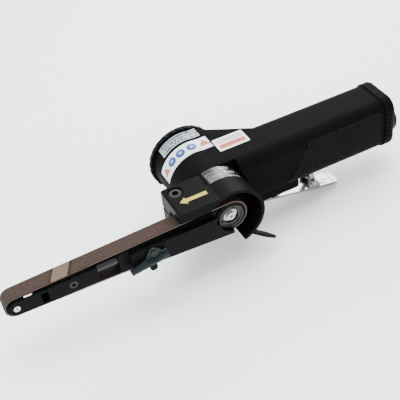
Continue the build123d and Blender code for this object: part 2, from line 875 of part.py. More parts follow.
def make_latch_spring():
    """Torsion spring round the latch pin, with one leg back along the lever."""
    wire = latch_wire
    coil_radius = latch_pin_radius + latch_coil_gap
    half = latch_width / 2 - latch_sheet - 0.6
    with BuildPart() as spring:
        with BuildSketch(lever_plane(handle_centre_y + half)):
            with Locations((latch_reach, 0)):
                Circle(coil_radius + wire)
                Circle(coil_radius - wire, mode=Mode.SUBTRACT)
        extrude(amount=2 * half)
        with BuildSketch(lever_plane(handle_centre_y + 0.4)):
            with Locations((latch_reach + latch_leg_length / 2, -coil_radius + 0.1)):
                Rectangle(latch_leg_length, 2 * wire)
        extrude(amount=0.8)
    return spring


# ---------------------------------------------------------------- guard with clamp block
def make_guard():
    """Clamp ring on the barrel's nose, clamp block, roof over the belt, wrapped guard wall and fin."""
    with BuildPart() as guard:
        with BuildSketch(side(clamp_ring_far)):
            Circle(clamp_ring_radius)
        extrude(amount=clamp_ring_far - nose_front)
        with BuildSketch(side(block_far)):
            with Locations((-(block_front + block_back) / 2, (block_top - block_bottom) / 2)):
                Rectangle(block_front - block_back, block_top + block_bottom)
        extrude(amount=block_far - nose_front)
        # roof and wrapped wall, open towards -Y
        with BuildSketch(side(nose_front)):
            Circle(guard_radius)
            with Locations((-block_front / 2, block_top / 2)):
                Rectangle(block_front, block_top)
            Circle(guard_radius - guard_wall, mode=Mode.SUBTRACT)
            with Locations((-block_front / 2, belt_roof / 2)):
                Rectangle(block_front, belt_roof, mode=Mode.SUBTRACT)
            with Locations((-block_front / 2, -guard_radius)):
                Rectangle(block_front, 2 * guard_radius, mode=Mode.SUBTRACT)
            with BuildLine():
                end = radians(guard_end_angle)
                far = 2 * guard_radius
                Polyline((0, 0), (far * cos(end), far * sin(end)), (0, -far), close=True)
            make_face(mode=Mode.SUBTRACT)
        extrude(amount=nose_front - guard_near)
        top_edges = guard.edges().filter_by(Axis.Y).group_by(Axis.X)[0].sort_by(Axis.Z)[-1:]
        fillet(top_edges, block_edge_fillet)
        # bore on the nose and the slot that lets the clamp close
        with BuildSketch(side(clamp_ring_far)):
            Circle(nose_radius + swivel_gap)
            with Locations((-(block_front + 2) / 2 - nose_radius / 2 + 2, slot_bottom + slot_height / 2)):
                Rectangle(block_front + 2 - nose_radius + 4, slot_height)
        extrude(amount=clamp_ring_far - nose_front, mode=Mode.SUBTRACT)
        # clamp bolt hole
        with BuildSketch(Plane.XY.offset(block_top)):
            with Locations((-clamp_bolt_x, clamp_bolt_y)):
                Circle(counterbore_radius)
        extrude(amount=-counterbore_depth, mode=Mode.SUBTRACT)
        with BuildSketch(Plane.XY.offset(block_top)):
            with Locations((-clamp_bolt_x, clamp_bolt_y)):
                Circle(clamp_bolt_radius)
        extrude(amount=-(block_top + block_bottom - clamp_hole_floor), mode=Mode.SUBTRACT)
        # holes for the two bracket screws
        steps = ((bracket_screw_head + 0.2, bracket_screw_sink), (bracket_screw_radius, block_far))
        for radius, depth in steps:
            with BuildSketch(side(block_far)):
                with Locations(*[(-bracket_screw_x, z) for z in bracket_screw_z]):
                    Circle(radius)
            extrude(amount=depth, mode=Mode.SUBTRACT)
        # fin from the end of the guard wall
        slope = radians(fin_slope)
        end = radians(fin_root_angle)
        root = guard_radius - guard_wall / 2
        fin_plane = Plane(
            origin=(root * cos(end), guard_near, root * sin(end)),
            x_dir=(cos(slope), 0, -sin(slope)),
            z_dir=(sin(slope), 0, cos(slope)),
        )
        with BuildSketch(fin_plane):
            with BuildLine():
                Polyline(
                    (-1, 0), (fin_length * 0.55, 0), (fin_length, fin_width * 0.4),
                    (fin_length, fin_width * 0.65), (fin_length * 0.7, fin_width), (-1, fin_width), close=True,
                )
            make_face()
        extrude(amount=fin_thickness / 2, both=True)
    return guard


def make_clamp_bolt():
    """Socket-head bolt that closes the clamp block on the nose."""
    seat = block_top - counterbore_depth
    with BuildPart() as bolt:
        with BuildSketch(Plane.XY.offset(seat)):
            with Locations((-clamp_bolt_x, clamp_bolt_y)):
                Circle(clamp_bolt_head)
        extrude(amount=clamp_bolt_head_height)
        chamfer(bolt.faces().sort_by(Axis.Z)[-1].edges(), clamp_bolt_chamfer)
        with BuildSketch(Plane.XY.offset(seat + clamp_bolt_head_height)):
            with Locations((-clamp_bolt_x, clamp_bolt_y)):
                RegularPolygon(clamp_bolt_hex, 6)
        extrude(amount=-clamp_bolt_hex_depth, mode=Mode.SUBTRACT)
        with BuildSketch(Plane.XY.offset(seat)):
            with Locations((-clamp_bolt_x, clamp_bolt_y)):
                Circle(clamp_bolt_radius)
        extrude(amount=-(seat + block_bottom - clamp_bolt_end))
    return bolt


# ---------------------------------------------------------------- arm bracket
def make_bracket():
    """Bracket inside the belt, screwed to the clamp block, with a plate over the belt's near edge."""
    with BuildPart() as bracket:
        with BuildSketch(side(arm_half_width)):
            with BuildLine():
                Polyline(
                    (-bracket_front, -belt_z(-bracket_front, arm_clearance)),
                    (-bracket_front, belt_z(-bracket_front, arm_clearance)),
                    (0, belt_z(0, arm_clearance)),
                    (0, -belt_z(0, arm_clearance)),
                    close=True,
                )
            make_face()
            Circle(bracket_pulley_cut, mode=Mode.SUBTRACT)
        extrude(amount=2 * arm_half_width)
        with BuildSketch(side(nose_front)):
            with BuildLine():
                Polyline(
                    (-block_front, -belt_z(-block_front, arm_clearance)),
                    (-block_front, belt_z(-block_front, arm_clearance)),
                    (-bracket_screw_x + bracket_tail, belt_z(-block_front, arm_clearance)),
                    (-bracket_screw_x + bracket_tail, -belt_z(-block_front, arm_clearance)),
                    close=True,
                )
            make_face()
        extrude(amount=nose_front - arm_half_width)
        # plate over the belt's near edge, with a rounded end that passes under the pulley
        outer = drive_radius + belt_gap + belt_thickness
        with BuildSketch(side(near_plate_inner)):
            with BuildLine():
                Polyline(
                    (-bracket_front, near_plate_top),
                    (-bracket_pulley_cut + 0.6, near_plate_top + 1),
                    (-bracket_pulley_cut + 0.6, 0),
                    (0, 0),
                    (0, -outer - 0.3),
                    (-bracket_front * 0.42, -belt_z(-bracket_front * 0.42) - 0.6),
                    (-bracket_front, -belt_z(-bracket_front) + 0.6),
                    close=True,
                )
            make_face()
            Circle(outer - 2.2, mode=Mode.SUBTRACT)
        extrude(amount=near_plate_inner - near_plate_outer)
        with BuildSketch(side(-arm_half_width)):
            with BuildLine():
                Polyline(
                    (-bracket_front, -6), (-bracket_front, near_plate_top - 0.5),
                    (-bracket_pulley_cut - 1, near_plate_top), (-bracket_pulley_cut - 1, -6), close=True,
                )
            make_face()
        extrude(amount=-arm_half_width - near_plate_inner)
        # bore for the tube and the spring, pin holes and screw holes
        with BuildSketch(across(-bracket_front)):
            Circle(tube_radius + slide_gap)
        extrude(amount=bracket_front - spring_seat, mode=Mode.SUBTRACT)
        with BuildSketch(side(nose_front)):
            with Locations(*[(-bracket_screw_x, z) for z in bracket_screw_z]):
                Circle(bracket_screw_radius)
        extrude(amount=bracket_screw_hole, mode=Mode.SUBTRACT)
        with BuildSketch(side(-tube_radius - 0.6)):
            with Locations((-release_pivot_x, release_pivot_z)):
                Circle(pin_radius)
        extrude(amount=pin_hole_depth, mode=Mode.SUBTRACT)
        with BuildSketch(side(near_plate_inner + 0.6)):
            with Locations((-knob_x, knob_z)):
                Circle(knob_pin_radius + running_gap)
        extrude(amount=pin_hole_depth, mode=Mode.SUBTRACT)
    return bracket


def make_bracket_screws():
    """Two screws from the far side of the block into the bracket."""
    seat = block_far - bracket_screw_sink
    places = [(-bracket_screw_x, z) for z in bracket_screw_z]
    with BuildPart() as screws:
        with BuildSketch(side(seat + bracket_screw_head_height)):
            with Locations(*places):
                Circle(bracket_screw_head)
        extrude(amount=bracket_screw_head_height)
        with BuildSketch(side(seat)):
            with Locations(*places):
                Circle(bracket_screw_radius)
        extrude(amount=seat - nose_front + bracket_screw_reach)
        with BuildSketch(side(seat + bracket_screw_head_height)):
            with Locations(*places):
                RegularPolygon(bracket_screw_hex, 6)
        extrude(amount=bracket_screw_hex_depth, mode=Mode.SUBTRACT)
    return screws


def make_collar():
    """Guide collar on the front of the bracket, through which the tube slides."""
    with BuildPart() as collar:
        with BuildSketch(across(-bracket_front - collar_length)):
            width = arm_half_width - near_plate_inner
            with Locations(((arm_half_width + near_plate_inner) / 2, 0)):
                RectangleRounded(width, 2 * collar_half_height, collar_corner)
            Circle(tube_radius + slide_gap, mode=Mode.SUBTRACT)
        extrude(amount=collar_length)
    return collar


def make_tube():
    """Hollow slider tube with a thinner spigot for the fork."""
    with BuildPart() as tube:
        with BuildSketch(across(-fork_rear)):
            Circle(tube_radius)
        extrude(amount=fork_rear - tube_end)
        with BuildSketch(across(-fork_rear - spigot_length)):
            Circle(spigot_radius)
        extrude(amount=spigot_length)
        with BuildSketch(across(-tube_end)):
            Circle(tube_bore)
        extrude(amount=-(fork_rear - tube_end - tube_floor), mode=Mode.SUBTRACT)
    return tube


def make_tension_spring():
    """Spring behind the tube, as turns of round wire in the bracket's bore."""
    wire = tension_wire
    length = tube_end - spring_seat
    mean_radius = tube_radius - tension_coil_step
    with BuildPart() as spring:
        with BuildLine():
            Helix(pitch=(length - 2 * wire) / tension_turns, height=length - 2 * wire, radius=mean_radius,
                  center=(-tube_end + wire, 0, 0), direction=(1, 0, 0))
        start = spring.pending_edges[0] @ 0
        with BuildSketch(Plane(origin=start, z_dir=spring.pending_edges[0] % 0)):
            Circle(wire)
        sweep(is_frenet=True)
    return spring


# ---------------------------------------------------------------- fork at the tip
def make_fork_body():
    """Spacer between the side plates, with a bore for the tube's spigot."""
    front = centre_distance - platen_front
    inset = belt_gap + platen_thickness
    with BuildPart() as body:
        with BuildSketch(side(fork_gap / 2)):
            with BuildLine():
                Polyline(
                    (-front, -fork_tip_radius), (-front, belt_z(-front, inset)),
                    (-fork_rear, belt_z(-fork_rear, inset)), (-fork_rear, -fork_rear_half + 0.3), close=True,
                )
            make_face()
        extrude(amount=fork_gap)
        with BuildSketch(across(-fork_rear)):
            Circle(spigot_radius)
        extrude(amount=-spigot_length - 0.5, mode=Mode.SUBTRACT)
        with BuildSketch(side(fork_gap / 2)):
            with Locations((-centre_distance + plate_screw_x, 0)):
                Circle(plate_screw_radius)
        extrude(amount=fork_gap, mode=Mode.SUBTRACT)
        with BuildSketch(side(-fork_gap / 2 + 2.5)):
            with Locations((-centre_distance + fork_window_x, 0)):
                Rectangle(fork_window_width, 2 * fork_window_half)
        extrude(amount=2.5, mode=Mode.SUBTRACT)
    return body


def make_side_plate(y_far, has_window):
    """Side plate of the fork, rounded at the tip."""
    with BuildPart() as plate:
        with BuildSketch(side(y_far)):
            with Locations((-centre_distance, 0)):
                Circle(fork_tip_radius)
            with Locations((-fork_rear - 1, 0)):
                Rectangle(2, 2 * fork_rear_half)
            make_hull()
            with Locations((-centre_distance, 0)):
                Circle(idler_axle_radius, mode=Mode.SUBTRACT)
            with Locations((-centre_distance + plate_screw_x, 0)):
                Circle(plate_screw_radius, mode=Mode.SUBTRACT)
            if has_window:
                with Locations((-centre_distance + fork_window_x, 0)):
                    Rectangle(fork_window_width, 2 * fork_window_half, mode=Mode.SUBTRACT)
        extrude(amount=fork_plate)
        if has_window:
            with BuildSketch(side(y_far - fork_plate)):
                with Locations((-centre_distance + plate_screw_x, 0)):
                    Circle(plate_screw_head + 0.1)
            extrude(amount=-1.0, mode=Mode.SUBTRACT)
    return plate


def make_plate_screw():
    """Screw through both side plates and the fork body."""
    with BuildPart() as screw:
        with BuildSketch(side(fork_half)):
            with Locations((-centre_distance + plate_screw_x, 0)):
                Circle(plate_screw_radius)
        extrude(amount=2 * fork_half - 1)
        with BuildSketch(side(-fork_half + 1)):
            with Locations((-centre_distance + plate_screw_x, 0)):
                Circle(plate_screw_head)
        extrude(amount=0.9)
        with BuildSketch(side(-fork_half + 0.1)):
            with Locations((-centre_distance + plate_screw_x, 0)):
                RegularPolygon(1.3, 6)
        extrude(amount=-1.6, mode=Mode.SUBTRACT)
    return screw


def make_platen():
    """Thin steel plate that backs the belt's upper run."""
    front = centre_distance - platen_front
    back = front - platen_length
    with BuildPart() as platen:
        with BuildSketch(side(fork_gap / 2 - 0.1)):
            with BuildLine():
                Polyline(
                    (-front, belt_z(-front, belt_gap + platen_thickness)), (-front, belt_z(-front, belt_gap)),
                    (-back, belt_z(-back, belt_gap)), (-back, belt_z(-back, belt_gap + platen_thickness)),
                    close=True,
                )
            make_face()
        extrude(amount=fork_gap - 0.2)
    return platen


# ---------------------------------------------------------------- belt release lever and tracking knob
def make_release_lever():
    """Bent sheet lever on the bracket: a plate on the pin and a lip to push with the thumb."""
    plate_far = near_plate_outer - part_gap
    with BuildPart() as lever:
        with BuildSketch(release_plane(plate_far)):
            with BuildLine():
                Polyline(
                    (-release_lip_front, -release_lip_drop), (-6, -release_lip_drop + 2.6), (-3.4, 1.5),
                    (3.4, 1.5), (5.5, -1.5), (release_lip_back, -1.5), (release_lip_back, -release_lip_drop),
                    close=True,
                )
            make_face()
            Circle(3.4)
            Circle(pin_radius + running_gap, mode=Mode.SUBTRACT)
        extrude(amount=release_sheet)
        with BuildSketch(release_plane(plate_far)):
            with Locations(((release_lip_back - release_lip_front) / 2, -release_lip_drop + release_sheet / 2)):
                Rectangle(release_lip_back + release_lip_front, release_sheet)
        extrude(amount=release_lip_width)
    return lever


def make_release_pin():
    """Shouldered pin of the release lever, fixed in the bracket."""
    plate_far = near_plate_outer - part_gap
    head = plate_far - release_sheet - running_gap
    with BuildPart() as pin:
        with BuildSketch(side(-tube_radius - 0.6)):
            with Locations((-release_pivot_x, release_pivot_z)):
                Circle(pin_radius)
        extrude(amount=-tube_radius - 0.6 - head)
        with BuildSketch(side(head)):
            with Locations((-release_pivot_x, release_pivot_z)):
                Circle(2.3)
        extrude(amount=0.9)
    return pin


def make_knob():
    """Knurled tracking knob with its pin in the bracket."""
    with BuildPart() as knob:
        with BuildSketch(side(near_plate_outer - side_gap)):
            with Locations((-knob_x, knob_z)):
                Circle(knob_radius)
                with PolarLocations(knob_radius + 0.1, 14):
                    Circle(0.3, mode=Mode.SUBTRACT)
        extrude(amount=knob_length)
        with BuildSketch(side(near_plate_inner - 0.1)):
            with Locations((-knob_x, knob_z)):
                Circle(knob_pin_radius)
        extrude(amount=near_plate_inner - 0.1 - near_plate_outer + side_gap)
    return knob


# ---------------------------------------------------------------- the pieces
write(make_belt(), "abrasive_belt")
write(make_motor_housing(), "motor_housing")
write(make_end_cap(), "motor_end_cap")
write(make_front_plate(), "front_end_plate")
write(make_liner(), "cylinder_liner")
write(make_rear_plate(), "rear_end_plate")
write(make_rotor(), "rotor_shaft")
write(make_vanes(), "rotor_vanes")
front_bearing_far = front_bearing_y + front_bearing_width
front_bearing = ring_between(
    front_bearing_y, front_bearing_far, front_bearing_radius, shaft_radius + bearing_gap)
write(front_bearing, "front_bearing")
rear_bearing_far = rear_bearing_y + rear_bearing_width
rear_bearing = ring_between(
    rear_bearing_y, rear_bearing_far, rear_bearing_radius, shaft_end_radius + bearing_gap)
write(rear_bearing, "rear_bearing")
shaft_seal = ring_between(
    front_bearing_y - seal_width, front_bearing_y, seal_radius, shaft_radius + running_gap)
write(shaft_seal, "shaft_seal")
write(make_pulley(), "drive_pulley")
tyre = ring_between(-belt_width / 2, belt_width / 2, drive_radius, pulley_hub_radius)
write(tyre, "pulley_tyre")
washer = ring_between(washer_back() - washer_thickness, washer_back(), washer_radius, pulley_screw_radius)
write(washer, "pulley_washer")
write(make_pulley_screw(), "pulley_screw")
write(make_rear_cover(), "rear_cover")
write(make_cover_screws(), "rear_cover_screws")
write(make_inlet_bushing(), "air_inlet_bushing")
write(make_strainer(), "air_strainer")
write(make_muffler(), "exhaust_muffler")
write(make_bushing(), "valve_bushing")
write(make_valve(), "throttle_valve")
write(make_valve_spring(), "valve_spring")
write(make_throttle_lever(), "throttle_lever")
write(make_pin(lever_plane, 0, pin_radius, lever_width + 1), "throttle_lever_pin")
write(make_pin(lever_plane, latch_reach, latch_pin_radius, lever_width + 0.6), "latch_pin")
write(make_latch(), "safety_latch")
write(make_latch_spring(), "latch_spring")
write(make_guard(), "belt_guard")
write(make_clamp_bolt(), "clamp_bolt")
write(make_bracket(), "arm_bracket")
write(make_bracket_screws(), "bracket_screws")
write(make_collar(), "arm_collar")
write(make_tube(), "slider_tube")
write(make_tension_spring(), "tension_spring")
write(make_fork_body(), "fork_body")
write(make_side_plate(-fork_gap / 2, True), "near_side_plate")
write(make_side_plate(fork_half, False), "far_side_plate")
write(make_plate_screw(), "side_plate_screw")
write(make_platen(), "platen")
idler_wheel = ring_between(-idler_width / 2, idler_width / 2, idler_radius, idler_bush_radius, -centre_distance)
write(idler_wheel, "idler_wheel")
idler_bush = ring_between(
    -idler_width / 2, idler_width / 2, idler_bush_radius, idler_axle_radius + running_gap, -centre_distance)
write(idler_bush, "idler_bush")
idler_axle = ring_between(-fork_half, fork_half, idler_axle_radius, 0.6, -centre_distance)
write(idler_axle, "idler_axle")
write(make_release_lever(), "tension_lever")
write(make_release_pin(), "tension_lever_pin")
write(make_knob(), "tracking_knob")
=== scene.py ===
import math

import bpy
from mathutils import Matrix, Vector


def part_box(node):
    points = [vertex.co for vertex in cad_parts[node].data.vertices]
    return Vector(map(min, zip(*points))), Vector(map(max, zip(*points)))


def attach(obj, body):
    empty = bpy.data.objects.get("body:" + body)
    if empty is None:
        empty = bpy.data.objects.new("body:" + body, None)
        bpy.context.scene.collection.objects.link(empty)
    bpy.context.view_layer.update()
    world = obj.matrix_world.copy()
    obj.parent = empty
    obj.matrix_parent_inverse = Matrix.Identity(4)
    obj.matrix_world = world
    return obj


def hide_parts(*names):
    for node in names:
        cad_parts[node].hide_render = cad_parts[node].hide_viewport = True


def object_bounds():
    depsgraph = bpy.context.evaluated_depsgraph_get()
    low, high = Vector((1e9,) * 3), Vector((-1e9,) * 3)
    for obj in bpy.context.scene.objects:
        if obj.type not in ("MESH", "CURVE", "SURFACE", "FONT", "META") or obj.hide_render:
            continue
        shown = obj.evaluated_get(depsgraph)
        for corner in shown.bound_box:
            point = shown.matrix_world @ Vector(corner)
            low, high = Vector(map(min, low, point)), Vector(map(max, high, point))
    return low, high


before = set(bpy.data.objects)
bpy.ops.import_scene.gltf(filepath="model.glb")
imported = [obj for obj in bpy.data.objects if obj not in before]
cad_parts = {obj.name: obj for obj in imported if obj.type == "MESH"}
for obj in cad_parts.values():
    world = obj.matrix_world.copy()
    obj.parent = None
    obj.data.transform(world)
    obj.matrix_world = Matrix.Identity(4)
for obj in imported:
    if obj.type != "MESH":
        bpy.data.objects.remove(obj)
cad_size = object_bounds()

# ---------------------------------------------------------------- camera
# Looks down on the near side of the tool from the pulley end, with the arm towards
# the lower left and the handle towards the upper right.
bpy.ops.object.select_all(action="DESELECT")
bpy.ops.object.camera_add(
    location=(-0.14937, -0.33832, 0.33824),
    rotation=(math.radians(48.309), math.radians(5.933), math.radians(-26.659)),
)
camera = bpy.context.object
camera.name = "viewpoint"
camera.data.lens = 73.43
camera.data.sensor_width = 36.0
bpy.context.scene.camera = camera

# ---------------------------------------------------------------- table and light
# A plain pale table top under the tool, with large soft lights above it and a
# pale room all round that fills the shadows.
table_gap = 0.0004
table_top = cad_size[0][2] - table_gap
table_size = 6.0


def add_node(tree, kind, **values):
    """Adds a node and fills its inputs, either with a number or colour or from another socket."""
    node = tree.nodes.new(kind)
    for name, value in values.items():
        name = name.replace("_", " ")
        if hasattr(value, "is_linked"):
            tree.links.new(value, node.inputs[name])
        else:
            node.inputs[name].default_value = value
    return node


def calculate(tree, operation, *values):
    """Adds a Math node and returns its output."""
    node = tree.nodes.new("ShaderNodeMath")
    node.operation = operation
    for socket, value in zip(node.inputs, values):
        if hasattr(value, "is_linked"):
            tree.links.new(value, socket)
        else:
            socket.default_value = value
    return node.outputs[0]


def blend_colours(tree, mask, low, high):
    """Mixes two colours by a mask and returns the result."""
    node = tree.nodes.new("ShaderNodeMix")
    node.data_type = "RGBA"
    for socket, value in ((node.inputs[0], mask), (node.inputs[6], low), (node.inputs[7], high)):
        if hasattr(value, "is_linked"):
            tree.links.new(value, socket)
        else:
            socket.default_value = value
    return node.outputs[2]


def new_finish(name):
    """Makes an empty material and returns it with its node tree and shader."""
    finish = bpy.data.materials.new(name)
    finish.use_nodes = True
    return finish, finish.node_tree, finish.node_tree.nodes["Principled BSDF"]


def fill(tree, shader, **values):
    """Fills the shader's sockets from numbers, colours or other nodes."""
    for name, value in values.items():
        socket = shader.inputs[name.replace("_", " ")]
        if hasattr(value, "is_linked"):
            tree.links.new(value, socket)
        else:
            socket.default_value = value


def grey(level, warm=0.0):
    """A grey of the given level, made warmer by a share of it."""
    return (level * (1 + warm), level, level * (1 - warm), 1.0)


table_finish, tree, shader = new_finish("pale_table")
place = add_node(tree, "ShaderNodeTexCoord").outputs["Object"]
mottle = add_node(tree, "ShaderNodeTexNoise", Vector=place, Scale=3.0, Detail=3.0)
fill(tree, shader, Roughness=0.75, Specular_IOR_Level=0.2,
     Base_Color=blend_colours(tree, mottle.outputs[0], grey(0.955), grey(0.975)))
bpy.ops.mesh.primitive_plane_add(size=table_size, location=(0, 0, table_top))
table = bpy.context.object
table.name = "table"
bpy.ops.object.transform_apply()
table.data.materials.append(table_finish)


def soft_light(name, place, aim, size, power):
    """A large round area light turned to its aim."""
    bpy.ops.object.light_add(type="AREA", location=place)
    light = bpy.context.object
    light.name = name
    light.data.shape = "DISK"
    light.data.size = size
    light.data.energy = power
    away = light.location - type(light.location)(aim)
    light.rotation_euler = away.to_track_quat("Z", "Y").to_euler()


soft_light("light_overhead", (0.05, 0.15, 0.75), (0, 0.02, 0), 0.70, 11.0)
soft_light("light_left", (-0.75, -0.15, 0.45), (-0.02, 0, 0), 0.50, 4.5)
soft_light("light_back_right", (0.45, 0.65, 0.40), (0.03, 0.02, 0), 0.45, 4.5)
room = bpy.data.worlds.new("pale_room")
room.use_nodes = True
room.node_tree.nodes["Background"].inputs["Color"].default_value = (0.96, 0.98, 1.0, 1.0)
room.node_tree.nodes["Background"].inputs["Strength"].default_value = 1.8
bpy.context.scene.world = room

# ---------------------------------------------------------------- motor housing
# Cast aluminium barrel, nose and handle in one piece, bead blasted and coated matt
# black. The coating is rubbed a little thinner along its edges.


def new_group(name, inputs, outputs):
    """Starts a shader node group with float inputs and the outputs given as name to type."""
    group = bpy.data.node_groups.new(name, "ShaderNodeTree")
    for socket, value in inputs.items():
        item = group.interface.new_socket(socket, in_out="INPUT", socket_type="NodeSocketFloat")
        item.default_value = value
    for socket, kind in outputs.items():
        group.interface.new_socket(socket, in_out="OUTPUT", socket_type=kind)
    return group, group.nodes.new("NodeGroupInput"), group.nodes.new("NodeGroupOutput")


edge_wear, taken, given = new_group(
    "edge_wear", {"Radius": 0.0005, "Amount": 0.5},
    {"Mask": "NodeSocketFloat", "Normal": "NodeSocketVector"})
eased = add_node(edge_wear, "ShaderNodeBevel", Radius=taken.outputs["Radius"])
eased.samples = 4
flat = add_node(edge_wear, "ShaderNodeNewGeometry").outputs["Normal"]
dot = edge_wear.nodes.new("ShaderNodeVectorMath")
dot.operation = "DOT_PRODUCT"
edge_wear.links.new(eased.outputs[0], dot.inputs[0])
edge_wear.links.new(flat, dot.inputs[1])
turned = calculate(edge_wear, "SUBTRACT", 1.0, dot.outputs["Value"])
place = add_node(edge_wear, "ShaderNodeTexCoord").outputs["Object"]
patchy = add_node(edge_wear, "ShaderNodeTexNoise", Vector=place, Scale=260.0, Detail=4.0)
kept = add_node(edge_wear, "ShaderNodeMapRange", Value=patchy.outputs[0])
kept.inputs["From Min"].default_value = 0.42
kept.inputs["From Max"].default_value = 0.62
rubbed = calculate(edge_wear, "MULTIPLY", turned, 6.0)
rubbed = calculate(edge_wear, "MINIMUM", rubbed, 1.0)
rubbed = calculate(edge_wear, "MULTIPLY", rubbed, kept.outputs[0])
rubbed = calculate(edge_wear, "MULTIPLY", rubbed, taken.outputs["Amount"])
edge_wear.links.new(rubbed, given.inputs["Mask"])
edge_wear.links.new(eased.outputs[0], given.inputs["Normal"])

coat_grain, taken, given = new_group(
    "coat_grain", {"Scale": 2500.0},
    {"Height": "NodeSocketFloat", "Tone": "NodeSocketFloat"})
place = add_node(coat_grain, "ShaderNodeTexCoord").outputs["Object"]
fine = add_node(coat_grain, "ShaderNodeTexNoise", Vector=place, Scale=taken.outputs["Scale"], Detail=3.0)
pits = add_node(coat_grain, "ShaderNodeTexVoronoi", Vector=place, Scale=taken.outputs["Scale"])
broad = add_node(coat_grain, "ShaderNodeTexNoise", Vector=place, Scale=45.0, Detail=4.0)
pitted = calculate(coat_grain, "MULTIPLY", pits.outputs[0], 0.5)
coat_grain.links.new(calculate(coat_grain, "ADD", fine.outputs[0], pitted), given.inputs["Height"])
tone = calculate(coat_grain, "ADD", calculate(coat_grain, "MULTIPLY", fine.outputs[0], 0.45),
                 calculate(coat_grain, "MULTIPLY", broad.outputs[0], 0.55))
coat_grain.links.new(tone, given.inputs["Tone"])


def coated(name, low, high, rough, grain, depth, wear, worn=(0.16, 0.16, 0.165, 1.0), ease=0.0004,
           shine=0.025):
    """A coated metal finish: tone between two colours, grain in the coat and worn edges."""
    finish, tree, shader = new_finish(name)
    edges = tree.nodes.new("ShaderNodeGroup")
    edges.node_tree = edge_wear
    edges.inputs["Radius"].default_value = ease
    edges.inputs["Amount"].default_value = wear
    grains = tree.nodes.new("ShaderNodeGroup")
    grains.node_tree = coat_grain
    grains.inputs["Scale"].default_value = grain
    colour = blend_colours(tree, grains.outputs["Tone"], low, high)
    colour = blend_colours(tree, edges.outputs["Mask"], colour, worn)
    gloss = add_node(tree, "ShaderNodeMapRange", Value=grains.outputs["Tone"])
    gloss.inputs["To Min"].default_value = rough - 0.08
    gloss.inputs["To Max"].default_value = rough + 0.10
    bump = add_node(tree, "ShaderNodeBump", Height=grains.outputs["Height"], Strength=1.0, Distance=depth)
    tree.links.new(edges.outputs["Normal"], bump.inputs["Normal"])
    fill(tree, shader, Base_Color=colour, Roughness=gloss.outputs[0], Normal=bump.outputs[0],
         Specular_IOR_Level=shine)
    return finish


def refinish(node, finish):
    """Gives a carried-over CAD node its finish."""
    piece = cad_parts[node]
    for slot in piece.material_slots:
        slot.material = finish


housing_black = coated("housing_black", grey(0.0008), grey(0.0036), 0.60, 1900.0, 0.00011, 0.22,
                       worn=(0.05, 0.05, 0.05, 1))
refinish("motor_housing", housing_black)

# ---------------------------------------------------------------- handle grip panels
# Raised diamonds moulded into both sides of the handle, in a panel whose front end
# slopes back. They wrap a little way round the handle's rounded corners.


def settle(piece, name, finish, body, slot, *replaced):
    """Puts a finished piece at the origin and gives it its name, finish and body; the slot is not used."""
    bpy.ops.object.select_all(action="DESELECT")
    piece.select_set(True)
    bpy.context.view_layer.objects.active = piece
    bpy.ops.object.transform_apply(location=True, rotation=True, scale=True)
    piece.name = name
    piece.data.name = name
    if finish:
        piece.data.materials.clear()
        piece.data.materials.append(finish)
    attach(piece, body)
    for node in replaced:
        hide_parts(node)
    return piece


def edit(piece, kind="FACE"):
    """Opens a piece for editing with nothing selected."""
    bpy.ops.object.select_all(action="DESELECT")
    piece.select_set(True)
    bpy.context.view_layer.objects.active = piece
    bpy.ops.object.mode_set(mode="EDIT")
    bpy.ops.mesh.select_mode(type=kind)
    bpy.ops.mesh.select_all(action="DESELECT")


def pick_faces(piece, wanted):
    """Selects, while editing, only the faces whose middle and normal are wanted."""
    bpy.ops.mesh.select_mode(type="FACE")
    bpy.ops.mesh.select_all(action="DESELECT")
    bpy.ops.object.mode_set(mode="OBJECT")
    for face in piece.data.polygons:
        face.select = wanted(face.center, face.normal)
    bpy.ops.object.mode_set(mode="EDIT")


def pick_points(piece, wanted):
    """Selects, while editing, only the points whose place is wanted."""
    bpy.ops.mesh.select_mode(type="VERT")
    bpy.ops.mesh.select_all(action="DESELECT")
    bpy.ops.object.mode_set(mode="OBJECT")
    for point in piece.data.vertices:
        point.select = wanted(point.co)
    bpy.ops.object.mode_set(mode="EDIT")


def leave():
    """Ends the editing of a piece."""
    bpy.ops.object.mode_set(mode="OBJECT")


def modify(piece, kind, **settings):
    """Adds a modifier with its settings and applies it."""
    bpy.context.view_layer.objects.active = piece
    change = piece.modifiers.new(kind.lower(), kind)
    for name, value in settings.items():
        setattr(change, name, value)
    bpy.ops.object.modifier_apply(modifier=change.name)


grip_black = coated("grip_black", grey(0.0010), grey(0.0042), 0.38, 1900.0, 0.00003, 0.4,
                    worn=(0.018, 0.018, 0.018, 1), ease=0.0003, shine=0.10)
cover_low, cover_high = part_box("rear_cover")
cover_lap = 0.0009
handle_top = cover_high.z - cover_lap
handle_bottom = cover_low.z + cover_lap
handle_middle = (handle_top + handle_bottom) / 2
handle_sides = (cover_low.y + cover_lap, cover_high.y - cover_lap)
corner = 0.0085
flat_half = (handle_top - handle_bottom) / 2 - corner
diamond_pitch = 0.0023
diamond_foot = 0.48 * diamond_pitch
diamond_tip = 0.14 * diamond_pitch
diamond_height = 0.0007
diamond_lift = 0.0003
panel_rear = cover_low.x - 0.0035
panel_front = 0.0510
front_slope = 0.62
panel_height = 0.0275
columns = 32
rows = 12

